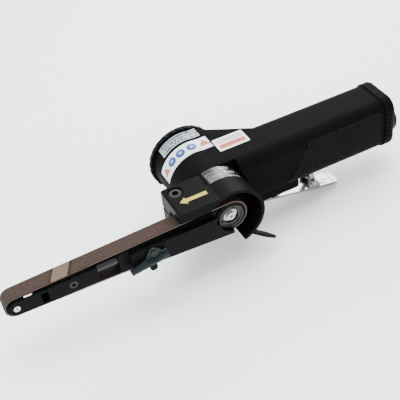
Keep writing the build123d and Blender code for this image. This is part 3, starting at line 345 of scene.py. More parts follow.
for side_name, side_y, out in (("near", handle_sides[0], -1), ("far", handle_sides[1], 1)):
    bpy.ops.mesh.primitive_cone_add(
        vertices=4, radius1=diamond_foot, radius2=diamond_tip, depth=diamond_height,
        rotation=(-out * math.pi / 2, 0, 0), location=(panel_rear, 0, -panel_height / 2))
    panel = bpy.context.object
    bpy.ops.object.transform_apply(location=True, rotation=True, scale=True)
    modify(panel, "ARRAY", count=columns, use_relative_offset=False, use_constant_offset=True,
           constant_offset_displace=(-diamond_pitch, 0, 0))
    modify(panel, "ARRAY", count=2, use_relative_offset=False, use_constant_offset=True,
           constant_offset_displace=(-diamond_pitch / 2, 0, diamond_pitch / 2))
    modify(panel, "ARRAY", count=rows, use_relative_offset=False, use_constant_offset=True,
           constant_offset_displace=(0, 0, diamond_pitch))
    edit(panel)
    pick_faces(panel, lambda middle, normal: (
        middle.x < panel_front + front_slope * (middle.z + panel_height / 2)))
    bpy.ops.mesh.delete(type="FACE")
    leave()
    for point in panel.data.vertices:
        above = abs(point.co.z) - flat_half
        lift = diamond_lift + out * point.co.y
        turn = max(above, 0.0) / corner
        reach = corner + lift
        up = flat_half + min(above, 0.0) + reach * math.sin(turn)
        point.co.z = math.copysign(up, point.co.z) + handle_middle
        point.co.y = side_y + out * (reach * math.cos(turn) - corner)
    settle(panel, "grip_panel_" + side_name, grip_black, "housing", "housing")

# ---------------------------------------------------------------- rear cover
# Cast cover screwed to the end of the handle. Its near side carries a rounded strip
# with a row of plain recesses.
cover_black = coated("cover_black", grey(0.0008), grey(0.0036), 0.56, 1700.0, 0.00008, 0.3,
                     worn=(0.06, 0.06, 0.06, 1))
refinish("rear_cover", cover_black)
strip_front = cover_low.x + 0.0006
strip_width = 0.0042
strip_depth = 0.0012
strip_round = 0.0020
strip_bottom, strip_top = -0.0070, 0.0120
recess_count = 5
recess_radius = 0.00085
recess_stretch = 1.4
recess_out = 0.00045
recess_margin = 0.0028
recess_step = (strip_top - strip_bottom - 2 * recess_margin) / (recess_count - 1)
bpy.ops.mesh.primitive_cube_add(
    size=1.0, location=(strip_front + strip_width / 2, cover_low.y, (strip_bottom + strip_top) / 2))
strip = bpy.context.object
strip.scale = (strip_width, strip_depth, strip_top - strip_bottom)
bpy.ops.object.transform_apply(location=True, rotation=True, scale=True)
modify(strip, "BEVEL", width=strip_round, segments=6, limit_method="ANGLE", affect="EDGES")
for turn in range(recess_count):
    bpy.ops.mesh.primitive_cylinder_add(
        vertices=20, radius=recess_radius, depth=0.0008, rotation=(math.pi / 2, 0, 0),
        location=(strip_front + strip_width / 2, cover_low.y - recess_out,
                  strip_bottom + recess_margin + turn * recess_step))
    cutter = bpy.context.object
    cutter.scale = (recess_stretch, 1, 1)
    bpy.ops.object.transform_apply(location=True, rotation=True, scale=True)
    modify(strip, "BOOLEAN", object=cutter, operation="DIFFERENCE", solver="EXACT")
    bpy.data.objects.remove(cutter)
settle(strip, "cover_strip", cover_black, "housing", "housing")
bolt_black = coated("blackened_bolts", grey(0.004), grey(0.012), 0.34, 2600.0, 0.00002, 0.5,
                  worn=(0.12, 0.12, 0.125, 1.0), ease=0.00025, shine=0.20)
refinish("rear_cover_screws", bolt_black)

# ---------------------------------------------------------------- motor end cap
# Scalloped cap of cast aluminium, coated like the housing, that screws into the far
# end of the barrel and is turned by hand or with a pin wrench.
refinish("motor_end_cap", coated("cap_black", grey(0.0010), grey(0.0042), 0.45, 1800.0, 0.00006, 0.5,
                                 worn=(0.035, 0.035, 0.035, 1), shine=0.05))

# ---------------------------------------------------------------- machined steel inside the motor
# Ground end plates, liner, rotor, bearings and pins, in plain steel with fine turning
# marks and a thin film of oil. The vanes are of laminate, the idler's bush is of
# bronze, and the shaft seal and the muffler are of felt.
turned_marks, taken, given = new_group(
    "turned_marks", {"Scale": 1800.0, "Stretch": 14.0},
    {"Height": "NodeSocketFloat", "Tone": "NodeSocketFloat"})
place = add_node(turned_marks, "ShaderNodeTexCoord").outputs["Object"]
axes = add_node(turned_marks, "ShaderNodeSeparateXYZ", Vector=place)
radius = calculate(turned_marks, "SQRT", calculate(
    turned_marks, "ADD",
    calculate(turned_marks, "MULTIPLY", axes.outputs["X"], axes.outputs["X"]),
    calculate(turned_marks, "MULTIPLY", axes.outputs["Z"], axes.outputs["Z"])))
rings = add_node(turned_marks, "ShaderNodeCombineXYZ")
for value, socket in ((radius, "X"), (axes.outputs["Y"], "Y")):
    stretched = calculate(turned_marks, "MULTIPLY", value, taken.outputs["Stretch"])
    turned_marks.links.new(stretched, rings.inputs[socket])
lines = add_node(turned_marks, "ShaderNodeTexNoise", Vector=rings.outputs[0], Scale=320.0, Detail=5.0)
smear = add_node(turned_marks, "ShaderNodeTexNoise", Vector=place, Scale=taken.outputs["Scale"], Detail=3.0)
mixed = calculate(turned_marks, "ADD", calculate(turned_marks, "MULTIPLY", lines.outputs[0], 0.7),
                  calculate(turned_marks, "MULTIPLY", smear.outputs[0], 0.3))
turned_marks.links.new(mixed, given.inputs["Height"])
turned_marks.links.new(mixed, given.inputs["Tone"])


def bright(name, low, high, rough, depth, scale=900.0, ease=0.0002):
    """A bare metal finish with turning or polishing marks."""
    finish, tree, shader = new_finish(name)
    marks = tree.nodes.new("ShaderNodeGroup")
    marks.node_tree = turned_marks
    marks.inputs["Scale"].default_value = scale
    edges = tree.nodes.new("ShaderNodeGroup")
    edges.node_tree = edge_wear
    edges.inputs["Radius"].default_value = ease
    gloss = add_node(tree, "ShaderNodeMapRange", Value=marks.outputs["Tone"])
    gloss.inputs["From Min"].default_value = 0.3
    gloss.inputs["From Max"].default_value = 0.7
    gloss.inputs["To Min"].default_value = rough * 0.75
    gloss.inputs["To Max"].default_value = rough * 1.35
    bump = add_node(tree, "ShaderNodeBump", Height=marks.outputs["Height"], Strength=1.0, Distance=depth)
    tree.links.new(edges.outputs["Normal"], bump.inputs["Normal"])
    fill(tree, shader, Base_Color=blend_colours(tree, marks.outputs["Tone"], low, high),
         Roughness=gloss.outputs[0], Normal=bump.outputs[0], Metallic=1.0)
    return finish


ground_steel = bright("ground_steel", grey(0.42), grey(0.62), 0.30, 0.00001)
for node in ("front_end_plate", "cylinder_liner", "rear_end_plate", "rotor_shaft", "front_bearing",
             "rear_bearing", "throttle_lever_pin", "latch_pin", "throttle_valve", "idler_axle"):
    refinish(node, ground_steel)
refinish("rotor_vanes", coated("vane_laminate", (0.20, 0.13, 0.07, 1), (0.32, 0.22, 0.12, 1), 0.6,
                               900.0, 0.00005, 0.2, worn=(0.35, 0.26, 0.16, 1)))
refinish("idler_bush", bright("oiled_bronze", (0.36, 0.22, 0.10, 1), (0.52, 0.34, 0.17, 1), 0.38, 0.00001))
felt_grey = coated("felt_grey", grey(0.30, 0.02), grey(0.44, 0.02), 0.9, 1400.0, 0.0003, 0.0)
refinish("shaft_seal", felt_grey)
refinish("exhaust_muffler", felt_grey)

# ---------------------------------------------------------------- air inlet
# Turned and darkened steel bushing with a smooth collar, threaded for the hose
# fitting. The strainer cup behind it and the throttle valve's bushing are of brass.
refinish("air_inlet_bushing", bright("inlet_steel", grey(0.008), grey(0.022), 0.32, 0.00001))
brass_finish = bright("valve_brass", (0.55, 0.36, 0.12, 1), (0.76, 0.54, 0.22, 1), 0.24, 0.00001)
refinish("air_strainer", brass_finish)
refinish("valve_bushing", brass_finish)

# ---------------------------------------------------------------- drive pulley
# Black steel hub with a rubber tyre, held on the shaft by a bright washer and a
# socket screw. A raised rim and a shallow groove are turned in its face.
gloss_black = coated("gloss_black_steel", grey(0.0025), grey(0.0070), 0.20, 900.0, 0.00001, 0.5,
                     worn=(0.12, 0.12, 0.12, 1), ease=0.0003, shine=0.26)
refinish("drive_pulley", gloss_black)
refinish("pulley_tyre", coated("tyre_rubber", grey(0.004), grey(0.010), 0.62, 1500.0, 0.00005, 0.0))
chrome = bright("polished_chrome", grey(0.24), grey(0.36), 0.13, 0.000004)
screw_steel = bright("screw_steel", grey(0.34), grey(0.52), 0.24, 0.00001)
refinish("pulley_screw", screw_steel)
refinish("pulley_washer", chrome)
hub_low, hub_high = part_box("drive_pulley")
ring_radius = (hub_high.x - hub_low.x) / 2 - 0.0002
ring_depth = 0.0010
ring_out = 0.0001
rim_width = 0.0009
groove_width, groove_depth = 0.0003, 0.0004
bpy.ops.mesh.primitive_cylinder_add(
    vertices=96, radius=ring_radius, depth=ring_depth, rotation=(math.pi / 2, 0, 0),
    location=(0, hub_low.y - ring_out, 0), end_fill_type="NGON")
face_ring = bpy.context.object
bpy.ops.object.transform_apply(location=True, rotation=True, scale=True)
edit(face_ring)
pick_faces(face_ring, lambda middle, normal: normal.y < -0.9)
bpy.ops.mesh.inset(thickness=rim_width, depth=0)
bpy.ops.mesh.inset(thickness=groove_width, depth=-groove_depth)
pick_faces(face_ring, lambda middle, normal: abs(normal.y) > 0.9 and middle.x ** 2 + middle.z ** 2 < 1e-7)
bpy.ops.mesh.delete(type="FACE")
bpy.ops.mesh.select_mode(type="EDGE")
bpy.ops.mesh.select_all(action="DESELECT")
bpy.ops.mesh.select_non_manifold()
bpy.ops.mesh.bridge_edge_loops()
bpy.ops.mesh.select_all(action="SELECT")
bpy.ops.mesh.normals_make_consistent(inside=False)
leave()
bpy.ops.object.shade_smooth_by_angle(angle=math.radians(35))
settle(face_ring, "pulley_face_ring", gloss_black, "drive", "black_steel")

# ---------------------------------------------------------------- guard and clamp block
# Cast aluminium guard round the pulley, in one piece with the block that clamps on
# the barrel's nose, coated satin black. The coat has rubbed off the corners.
guard_black = coated("guard_black", grey(0.0010), grey(0.0040), 0.42, 2100.0, 0.00006, 0.4,
                     worn=(0.040, 0.040, 0.040, 1), ease=0.0005, shine=0.03)
refinish("belt_guard", guard_black)
refinish("clamp_bolt", bolt_black)
refinish("bracket_screws", bolt_black)

# ---------------------------------------------------------------- arm, collar and fork
# The bracket inside the belt, its guide collar, the slider tube and the fork with two
# side plates, all of blackened steel or coated aluminium.
arm_black = coated("arm_black", grey(0.0012), grey(0.0040), 0.38, 2300.0, 0.00004, 0.4,
                   worn=(0.05, 0.05, 0.05, 1), ease=0.0003, shine=0.04)
plate_black = coated("side_plate_black", grey(0.0012), grey(0.0035), 0.34, 2600.0, 0.00003, 0.4,
                     worn=(0.05, 0.05, 0.05, 1), ease=0.0002, shine=0.035)
tube_black = coated("tube_black", grey(0.004), grey(0.010), 0.16, 700.0, 0.00001, 0.0,
                    ease=0.0002, shine=0.30)
for node, finish in (("arm_bracket", arm_black), ("arm_collar", arm_black), ("fork_body", arm_black),
                     ("near_side_plate", plate_black), ("far_side_plate", plate_black),
                     ("slider_tube", tube_black), ("side_plate_screw", bolt_black),
                     ("idler_wheel", arm_black), ("platen", plate_black),
                     ("tension_lever_pin", bolt_black)):
    refinish(node, finish)
spring_wire = bright("spring_wire", grey(0.34), grey(0.50), 0.28, 0.00001)
for node in ("tension_spring", "valve_spring"):
    refinish(node, spring_wire)

# ---------------------------------------------------------------- abrasive belt
# Endless 10 mm belt: a pale cloth backing with brown grit bonded to its outside, and
# a slanting taped joint on the upper run. The backing's inside face carries painted shade, near black.
tyre_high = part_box("pulley_tyre")[1]
wheel_low, wheel_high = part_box("idler_wheel")
belt_low, belt_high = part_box("abrasive_belt")
belt_gap = 0.00015
backing = 0.00034
drive_inside = tyre_high.x + belt_gap
idler_inside = (wheel_high.x - wheel_low.x) / 2 + belt_gap
idler_x = (wheel_high.x + wheel_low.x) / 2
grit = belt_high.x - drive_inside - backing


def belt_layer(name, inside, thickness, finish):
    """One layer of the belt, from a wide ring whose left half goes to the idler."""
    lift = inside - drive_inside
    bpy.ops.mesh.primitive_cylinder_add(
        vertices=144, radius=inside, depth=belt_high.y - belt_low.y, rotation=(math.pi / 2, 0, 0),
        end_fill_type="NOTHING")
    layer = bpy.context.object
    bpy.ops.object.transform_apply(location=True, rotation=True, scale=True)
    edit(layer)
    pick_points(layer, lambda place: place.x < -0.00001)
    share = (idler_inside + lift) / inside
    bpy.ops.transform.resize(value=(share, 1, share), center_override=(0, 0, 0))
    bpy.ops.transform.translate(value=(idler_x, 0, 0))
    leave()
    modify(layer, "SOLIDIFY", thickness=thickness, offset=1.0)
    bpy.ops.object.select_all(action="DESELECT")
    layer.select_set(True)
    bpy.ops.object.shade_smooth_by_angle(angle=math.radians(35))
    return layer


grit_finish, tree, shader = new_finish("brown_grit")
place = add_node(tree, "ShaderNodeTexCoord").outputs["Object"]
grains = add_node(tree, "ShaderNodeTexVoronoi", Vector=place, Scale=3800.0)
clumps = add_node(tree, "ShaderNodeTexNoise", Vector=place, Scale=420.0, Detail=5.0)
grain_tone = add_node(tree, "ShaderNodeSeparateColor", Color=grains.outputs["Color"])
speck = add_node(tree, "ShaderNodeMapRange", Value=grain_tone.outputs["Red"])
speck.inputs["From Min"].default_value = 0.80
speck.inputs["From Max"].default_value = 1.0
ground = blend_colours(tree, clumps.outputs[0], (0.017, 0.0095, 0.0070, 1), (0.043, 0.0265, 0.0205, 1))
glint = calculate(tree, "MULTIPLY", speck.outputs[0], 0.45)
ground = blend_colours(tree, glint, ground, (0.085, 0.060, 0.050, 1))
axes = add_node(tree, "ShaderNodeSeparateXYZ", Vector=place)
ragged = calculate(tree, "MULTIPLY", calculate(tree, "SUBTRACT", clumps.outputs[0], 0.5), 0.0010)
slanted = calculate(tree, "MULTIPLY", axes.outputs["Y"], 0.51)
along = calculate(tree, "ADD", calculate(tree, "SUBTRACT", axes.outputs["X"], slanted), ragged)
upper = calculate(tree, "GREATER_THAN", axes.outputs["Z"], 0.0)


def between(tree, value, low, high):
    """A mask that is 1 where a value lies between two limits."""
    return calculate(tree, "MULTIPLY", calculate(tree, "GREATER_THAN", value, low),
                     calculate(tree, "LESS_THAN", value, high))


joint_start, joint_end = -0.1130, -0.1028
taped = calculate(tree, "MULTIPLY", between(tree, along, joint_start, joint_end), upper)
rimmed = calculate(tree, "MULTIPLY", between(tree, along, joint_start - 0.0012, joint_end + 0.0017), upper)
ground = blend_colours(tree, rimmed, ground, (0.020, 0.0085, 0.0065, 1))
tape = blend_colours(tree, clumps.outputs[0], (0.070, 0.049, 0.036, 1), (0.125, 0.092, 0.070, 1))
ground = blend_colours(tree, taped, ground, tape)
relief = calculate(tree, "MULTIPLY", grain_tone.outputs["Red"], calculate(
    tree, "SUBTRACT", 1.0, calculate(tree, "MULTIPLY", taped, 0.8)))
bump = add_node(tree, "ShaderNodeBump", Height=relief, Strength=0.9, Distance=0.00012)
fill(tree, shader, Base_Color=ground, Roughness=0.72, Normal=bump.outputs[0], Specular_IOR_Level=0.15)

cloth_finish, tree, shader = new_finish("belt_cloth")
place = add_node(tree, "ShaderNodeTexCoord").outputs["Object"]
warp = add_node(tree, "ShaderNodeTexWave", Vector=place, Scale=900.0, Distortion=0.6)
weft = add_node(tree, "ShaderNodeTexWave", Vector=place, Scale=900.0, Distortion=0.6)
weft.bands_direction = "Y"
weave = calculate(tree, "MULTIPLY", warp.outputs["Fac"], weft.outputs["Fac"])
bump = add_node(tree, "ShaderNodeBump", Height=weave, Strength=0.7, Distance=0.00006)
across = calculate(tree, "ABSOLUTE", add_node(tree, "ShaderNodeSeparateXYZ", Vector=place).outputs["Y"])
cut_edge = calculate(tree, "GREATER_THAN", across, belt_high.y - 0.00007)
# Painted shade: the inside face of the pale cloth is coloured near black for the shade inside the belt loop;
# only the cut edges keep the pale cloth colour.
inner = blend_colours(tree, weave, (0.007, 0.005, 0.004, 1), (0.016, 0.011, 0.009, 1))
fill(tree, shader, Roughness=0.85, Normal=bump.outputs[0], Specular_IOR_Level=0.1,
     Base_Color=blend_colours(tree, cut_edge, inner, blend_colours(
         tree, weave, (0.13, 0.090, 0.072, 1), (0.22, 0.162, 0.137, 1))))

cloth = belt_layer("belt_cloth", drive_inside, backing, cloth_finish)
settle(cloth, "belt_cloth", cloth_finish, "arm", "abrasive", "abrasive_belt")
gritty = belt_layer("belt_grit", drive_inside + backing, grit, grit_finish)
settle(gritty, "belt_grit", grit_finish, "arm", "abrasive")

# ---------------------------------------------------------------- throttle lever and latch
# Pressed and chromed steel lever hinged under the handle, with a folding latch on a
# pin and its wire torsion spring.
refinish("throttle_lever", chrome)
refinish("safety_latch", chrome)
latch_low, latch_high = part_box("latch_pin")
pin_x = (latch_low.x + latch_high.x) / 2
pin_z = (latch_low.z + latch_high.z) / 2
spring_low, spring_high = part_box("latch_spring")
wire_radius = 0.0003
coil_radius = 0.00175
coil_near = spring_low.y + wire_radius
coil_far = spring_high.y - wire_radius
turns = 5
bpy.ops.mesh.primitive_circle_add(vertices=10, radius=wire_radius, location=(coil_radius, 0, 0))
coil = bpy.context.object
bpy.ops.object.transform_apply(location=True, rotation=True, scale=True)
modify(coil, "SCREW", axis="Y", angle=2 * math.pi * turns, steps=22 * turns, render_steps=22 * turns,
       screw_offset=coil_far - coil_near, use_merge_vertices=False)
coil.location = (pin_x, coil_near, pin_z)
bpy.ops.object.transform_apply(location=True, rotation=True, scale=True)
lever_leg = (coil_near, 10.4, 0.012)
latch_leg = (coil_far, -75.0, 0.007)
for leg_y, slope, length in (lever_leg, latch_leg):
    bpy.ops.mesh.primitive_cylinder_add(
        vertices=10, radius=wire_radius, depth=length, location=(0, 0, length / 2))
    leg = bpy.context.object
    bpy.ops.object.transform_apply(location=True, rotation=True, scale=True)
    leg.rotation_euler = (0, math.radians(90 + slope), 0)
    drop = -coil_radius if slope > 0 else 0
    leg.location = (pin_x + (coil_radius if slope < 0 else 0), leg_y, pin_z + drop)
    bpy.ops.object.transform_apply(location=True, rotation=True, scale=True)
    bpy.ops.object.select_all(action="DESELECT")
    leg.select_set(True)
    coil.select_set(True)
    bpy.context.view_layer.objects.active = coil
    bpy.ops.object.join()
edit(coil)
bpy.ops.mesh.select_mode(type="EDGE")
bpy.ops.mesh.select_non_manifold()
bpy.ops.mesh.edge_face_add()
bpy.ops.mesh.select_all(action="SELECT")
bpy.ops.mesh.normals_make_consistent(inside=False)
leave()
bpy.ops.object.shade_smooth_by_angle(angle=math.radians(50))
settle(coil, "latch_coil", spring_wire, "throttle", "spring_steel", "latch_spring")

# ---------------------------------------------------------------- belt release lever and tracking knob
# Bent sheet lever with a grey-green coat, and the small knurled knob that steers the
# belt.
refinish("tension_lever", coated("release_green", (0.007, 0.0110, 0.0120, 1), (0.015, 0.022, 0.024, 1), 0.34,
                                 2300.0, 0.00004, 0.6, worn=(0.10, 0.115, 0.115, 1), ease=0.0003, shine=0.16))
refinish("tracking_knob", coated("knob_black", grey(0.003), grey(0.009), 0.44, 2300.0, 0.00005, 0.3,
                                 worn=(0.08, 0.08, 0.08, 1)))

# ---------------------------------------------------------------- labels on the motor barrel
# Printed foil labels wrapped round the barrel: a grey one with rows of plain marks and
# a white one with three blue discs between two orange triangles. Their marks are
# placed by the angle in degrees and by the distance along the motor's axis in mm.
barrel_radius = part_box("motor_housing")[1].z
label_thickness = 0.00012
label_gap = 0.00002
tangent = math.degrees(math.asin((handle_top - 0.00005) / barrel_radius))


def wrapped_label(name, radius, low_y, high_y, first, last, finish, body, slot, flat_to=None):
    """A thin label wrapped round the motor axis between two angles from +X towards +Z.

    It may run on flat from its first edge.
    """
    bpy.ops.mesh.primitive_plane_add(
        size=1.0, location=(radius + label_thickness / 2 + label_gap, (low_y + high_y) / 2, 0))
    label = bpy.context.object
    label.scale = (label_thickness, high_y - low_y, 1)
    bpy.ops.object.transform_apply(location=True, rotation=True, scale=True)
    label.rotation_euler = (0, -math.radians(first), 0)
    bpy.ops.object.transform_apply(location=True, rotation=True, scale=True)
    edit(label)
    bpy.ops.mesh.select_all(action="SELECT")
    bpy.ops.mesh.spin(steps=48, angle=math.radians(last - first), center=(0, 0, 0), axis=(0, 1, 0))
    bpy.ops.mesh.select_all(action="SELECT")
    bpy.ops.mesh.remove_doubles(threshold=0.000001)
    if flat_to:
        start = math.radians(first)
        pick_faces(label, lambda middle, normal: abs(math.atan2(middle.z, middle.x) - start) < 0.0002)
        bpy.ops.mesh.extrude_region_move(TRANSFORM_OT_translate={
            "value": (flat_to - radius * math.cos(start), 0, 0)})
        bpy.ops.mesh.select_all(action="SELECT")
    bpy.ops.mesh.normals_make_consistent(inside=False)
    leave()
    bpy.ops.object.shade_smooth_by_angle(angle=math.radians(35))
    return settle(label, name, finish, body, slot)


wrapped_rule, taken, given = new_group(
    "wrapped_rule", {}, {"Angle": "NodeSocketFloat", "Across": "NodeSocketFloat"})
axes = add_node(wrapped_rule, "ShaderNodeSeparateXYZ",
                Vector=add_node(wrapped_rule, "ShaderNodeTexCoord").outputs["Object"])
bearing = calculate(wrapped_rule, "MULTIPLY", calculate(
    wrapped_rule, "ARCTAN2", axes.outputs["Z"], axes.outputs["X"]), 180 / math.pi)
wrapped_rule.links.new(bearing, given.inputs["Angle"])
millimetres = calculate(wrapped_rule, "MULTIPLY", axes.outputs["Y"], 1000.0)
wrapped_rule.links.new(millimetres, given.inputs["Across"])


def printed(name, ground, rough, metallic=0.0):
    """Starts a printed foil finish: returns it with its tree, shader, rule and ground colour."""
    finish, tree, shader = new_finish(name)
    rule = tree.nodes.new("ShaderNodeGroup")
    rule.node_tree = wrapped_rule
    place = add_node(tree, "ShaderNodeTexCoord").outputs["Object"]
    scuffs = add_node(tree, "ShaderNodeTexNoise", Vector=place, Scale=380.0, Detail=5.0)
    gloss = add_node(tree, "ShaderNodeMapRange", Value=scuffs.outputs[0])
    gloss.inputs["To Min"].default_value = rough - 0.08
    gloss.inputs["To Max"].default_value = rough + 0.12
    fill(tree, shader, Roughness=gloss.outputs[0], Metallic=metallic)
    darker = tuple(0.86 * level for level in ground[:3]) + (1.0,)
    colour = blend_colours(tree, scuffs.outputs[0], darker, ground)
    return finish, tree, shader, rule.outputs["Angle"], rule.outputs["Across"], colour


def block_mark(tree, angle, across, first, last, low, high):
    """A plain block between two angles and two places across."""
    return calculate(tree, "MULTIPLY", between(tree, angle, first, last), between(tree, across, low, high))


def broken_rows(tree, angle, across, mask, seed, gap):
    """Breaks a mark into short plain dashes."""
    dash = add_node(tree, "ShaderNodeTexNoise", Scale=1.0, Detail=0.0)
    spread = add_node(tree, "ShaderNodeCombineXYZ", X=calculate(tree, "MULTIPLY", angle, 0.30), Z=seed)
    tree.links.new(calculate(tree, "FLOOR", calculate(tree, "MULTIPLY", across, 0.6)), spread.inputs["Y"])
    tree.links.new(spread.outputs[0], dash.inputs["Vector"])
    return calculate(tree, "MULTIPLY", mask, calculate(tree, "GREATER_THAN", dash.outputs[0], gap))


barrel_degree = math.radians(1) * barrel_radius * 1000


def disc_mark(tree, angle, across, centre, middle, radius):
    """A round disc, its centre given by its angle and its place across."""
    side = calculate(tree, "MULTIPLY", calculate(tree, "SUBTRACT", angle, centre), barrel_degree)
    up = calculate(tree, "SUBTRACT", across, middle)
    reach = calculate(tree, "SQRT", calculate(
        tree, "ADD", calculate(tree, "MULTIPLY", side, side), calculate(tree, "MULTIPLY", up, up)))
    return calculate(tree, "LESS_THAN", reach, radius)


def triangle_mark(tree, angle, across, centre, middle, size):
    """An equal-sided triangle that points away from the pulley."""
    side = calculate(tree, "ABSOLUTE", calculate(
        tree, "MULTIPLY", calculate(tree, "SUBTRACT", angle, centre), barrel_degree))
    up = calculate(tree, "SUBTRACT", across, middle)
    slant = calculate(tree, "ADD", calculate(tree, "MULTIPLY", side, math.cos(math.radians(30))),
                      calculate(tree, "MULTIPLY", up, math.sin(math.radians(30))))
    return calculate(tree, "MULTIPLY", calculate(tree, "LESS_THAN", slant, size / 2),
                     calculate(tree, "GREATER_THAN", up, -size / 2))


finish, tree, shader, angle, across, colour = printed("grey_foil", (0.27, 0.31, 0.35, 1), 0.38, 0.2)
row_height = 1.3
for low, seed in ((53.9, 1.0), (56.6, 4.0), (59.3, 7.0)):
    row = block_mark(tree, angle, across, 62.0, 134.0, low, low + row_height)
    row = broken_rows(tree, angle, across, row, seed, 0.47)
    colour = blend_colours(tree, row, colour, grey(0.005))
fill(tree, shader, Base_Color=colour)
wrapped_label("grey_barrel_label", barrel_radius, 0.0529, 0.0618, tangent, 140, finish,
              "housing", "aluminium", flat_to=0.0100)

finish, tree, shader, angle, across, colour = printed("white_foil", (0.60, 0.66, 0.70, 1), 0.34)
disc_middle, disc_radius = 44.4, 3.3
spot_middle, spot_radius = 44.9, 1.25
triangle_middle, triangle_size = 43.9, 4.2
for centre in (133.2, 112.8, 90.5):
    disc = disc_mark(tree, angle, across, centre, disc_middle, disc_radius)
    colour = blend_colours(tree, disc, colour, (0.001, 0.038, 0.160, 1))
    spot = disc_mark(tree, angle, across, centre, spot_middle, spot_radius)
    colour = blend_colours(tree, spot, colour, (0.20, 0.32, 0.46, 1))
for centre in (154.4, 67.8):
    triangle = triangle_mark(tree, angle, across, centre, triangle_middle, triangle_size)
    colour = blend_colours(tree, triangle, colour, (0.360, 0.040, 0.002, 1))
fill(tree, shader, Base_Color=colour)
wrapped_label("white_barrel_label", barrel_radius, 0.0381, 0.0503, tangent, 167, finish,
              "housing", "aluminium", flat_to=0.0122)

# ---------------------------------------------------------------- label on the clamp ring
# Black foil label with plain silver blocks and thin ruled boxes, on the top of the
# clamp ring beside the barrel.
finish, tree, shader, angle, across, colour = printed("black_foil", (0.006, 0.006, 0.007, 1), 0.24)
silver = (0.20, 0.21, 0.215, 1)
ring_top = 0.0210
box_line = 0.28
box_side = 0.8
for first, last, low, high, gap in (
        (58.0, 80.0, 15.4, 18.4, 0.36), (48.0, 74.0, 10.6, 13.4, 0.40), (46.0, 70.0, 6.2, 8.9, 0.42)):
    block = block_mark(tree, angle, across, first, last, low, high)
    colour = blend_colours(tree, broken_rows(tree, angle, across, block, low, gap), colour, silver)
for first, last, low, high in ((82.0, 105.0, 12.4, 14.8), (80.0, 105.0, 8.9, 11.4), (80.0, 105.0, 4.4, 7.9)):
    outer = block_mark(tree, angle, across, first, last, low, high)
    inner = block_mark(tree, angle, across, first + box_side, last - box_side,
                       low + box_line, high - box_line)
    colour = blend_colours(tree, calculate(tree, "SUBTRACT", outer, inner), colour, silver)
small_row_height = 0.45
for low in (5.0, 6.0, 7.0, 9.7, 10.5):
    row = block_mark(tree, angle, across, 81.0, 104.0, low, low + small_row_height)
    row = broken_rows(tree, angle, across, row, low, 0.45)
    colour = blend_colours(tree, row, colour, silver)
fill(tree, shader, Base_Color=colour)
wrapped_label("clamp_ring_label", ring_top, 0.0030, 0.0189, 44, 108, finish, "arm", "guard")

# ---------------------------------------------------------------- label on the handle
# White foil label with rounded corners on top of the handle, with a plain red-orange
# band and two thin rules of the same colour.
label_front, label_rear = 0.0133, 0.0347
label_near, label_far = 0.0302, 0.0431
label_corner = 0.0008
print_margin = 0.0016
band_near, band_far = 0.0322, 0.0361
rule_width = 0.0009
bpy.ops.mesh.primitive_plane_add(
    size=1.0, location=((label_front + label_rear) / 2, (label_near + label_far) / 2,
                        handle_top + 1.5 * label_gap))
handle_label = bpy.context.object
handle_label.scale = (label_rear - label_front, label_far - label_near, 1)
bpy.ops.object.transform_apply(location=True, rotation=True, scale=True)
edit(handle_label)
bpy.ops.mesh.select_all(action="SELECT")
bpy.ops.mesh.bevel(offset=label_corner, segments=4, affect="VERTICES")
bpy.ops.mesh.select_all(action="SELECT")
bpy.ops.mesh.extrude_region_move(TRANSFORM_OT_translate={"value": (0, 0, label_thickness)})
bpy.ops.mesh.select_all(action="SELECT")
bpy.ops.mesh.normals_make_consistent(inside=False)
leave()
finish, tree, shader = new_finish("white_and_orange_foil")
place = add_node(tree, "ShaderNodeTexCoord").outputs["Object"]
axes = add_node(tree, "ShaderNodeSeparateXYZ", Vector=place)
scuffs = add_node(tree, "ShaderNodeTexNoise", Vector=place, Scale=380.0, Detail=5.0)
colour = blend_colours(tree, scuffs.outputs[0], grey(0.56), grey(0.70))
inside_x = between(tree, axes.outputs["X"], label_front + print_margin, label_rear - print_margin)
band = calculate(tree, "MULTIPLY", inside_x, between(tree, axes.outputs["Y"], band_near, band_far))
colour = blend_colours(tree, band, colour, (0.330, 0.020, 0.004, 1))
for low in (0.0378, 0.0398):
    rule = calculate(tree, "MULTIPLY", inside_x, between(tree, axes.outputs["Y"], low, low + rule_width))
    colour = blend_colours(tree, rule, colour, (0.36, 0.045, 0.018, 1))
gloss = add_node(tree, "ShaderNodeMapRange", Value=scuffs.outputs[0])
gloss.inputs["To Min"].default_value = 0.22
gloss.inputs["To Max"].default_value = 0.42
fill(tree, shader, Base_Color=colour, Roughness=gloss.outputs[0])
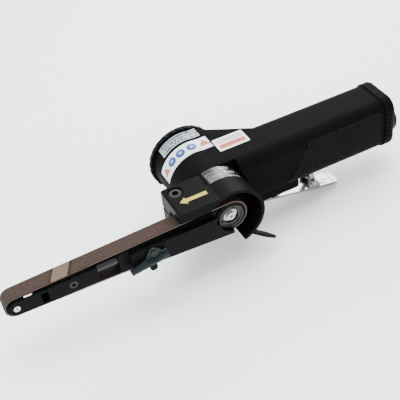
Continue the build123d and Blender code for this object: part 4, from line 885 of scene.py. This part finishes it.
settle(handle_label, "handle_label", finish, "housing", "aluminium")

# ---------------------------------------------------------------- direction arrow
# Pale yellow arrow on a black outline, a foil sticker on top of the clamp block that
# points along the arm.
block_top = 0.0203


def arrow(name, grow, level, finish):
    """A flat arrow, its tail first, whose front edge is widened and then drawn to the tip."""
    tail_back, head_back, tip = -0.0114 + grow, -0.0250 + 0.3 * grow, -0.0293 - 1.6 * grow
    half, head_half, middle = 0.0015 + grow, 0.0031 + 1.5 * grow, 0.0011
    bpy.ops.mesh.primitive_plane_add(size=1.0, location=((tail_back + head_back) / 2, middle, level))
    sticker = bpy.context.object
    sticker.scale = (tail_back - head_back, 2 * half, 1)
    bpy.ops.object.transform_apply(location=True, rotation=True, scale=True)
    edit(sticker, "EDGE")
    pick_points(sticker, lambda place: place.x < head_back + 0.0001)
    bpy.ops.mesh.select_mode(type="EDGE")
    bpy.ops.mesh.extrude_region_move()
    bpy.ops.transform.resize(value=(1, head_half / half, 1), center_override=(head_back, middle, level))
    bpy.ops.mesh.extrude_region_move(TRANSFORM_OT_translate={"value": (tip - head_back, 0, 0)})
    bpy.ops.mesh.merge(type="CENTER")
    bpy.ops.mesh.select_mode(type="FACE")
    bpy.ops.mesh.select_all(action="SELECT")
    bpy.ops.mesh.dissolve_limited(angle_limit=math.radians(1))
    bpy.ops.mesh.select_all(action="SELECT")
    bpy.ops.mesh.extrude_region_move(TRANSFORM_OT_translate={"value": (0, 0, label_thickness)})
    bpy.ops.mesh.select_all(action="SELECT")
    bpy.ops.mesh.normals_make_consistent(inside=False)
    leave()
    return settle(sticker, name, finish, "arm", "guard")


black_ink = coated("black_ink", grey(0.006), grey(0.014), 0.30, 900.0, 0.00001, 0.0)
yellow_ink = coated("yellow_ink", (0.27, 0.22, 0.018, 1), (0.40, 0.33, 0.036, 1), 0.34, 700.0,
                    0.00001, 0.0, shine=0.4)
outline_width = 0.0007
arrow("arrow_outline", outline_width, block_top + label_gap, black_ink)
arrow("arrow_face", 0.0, block_top + label_gap + label_thickness, yellow_ink)
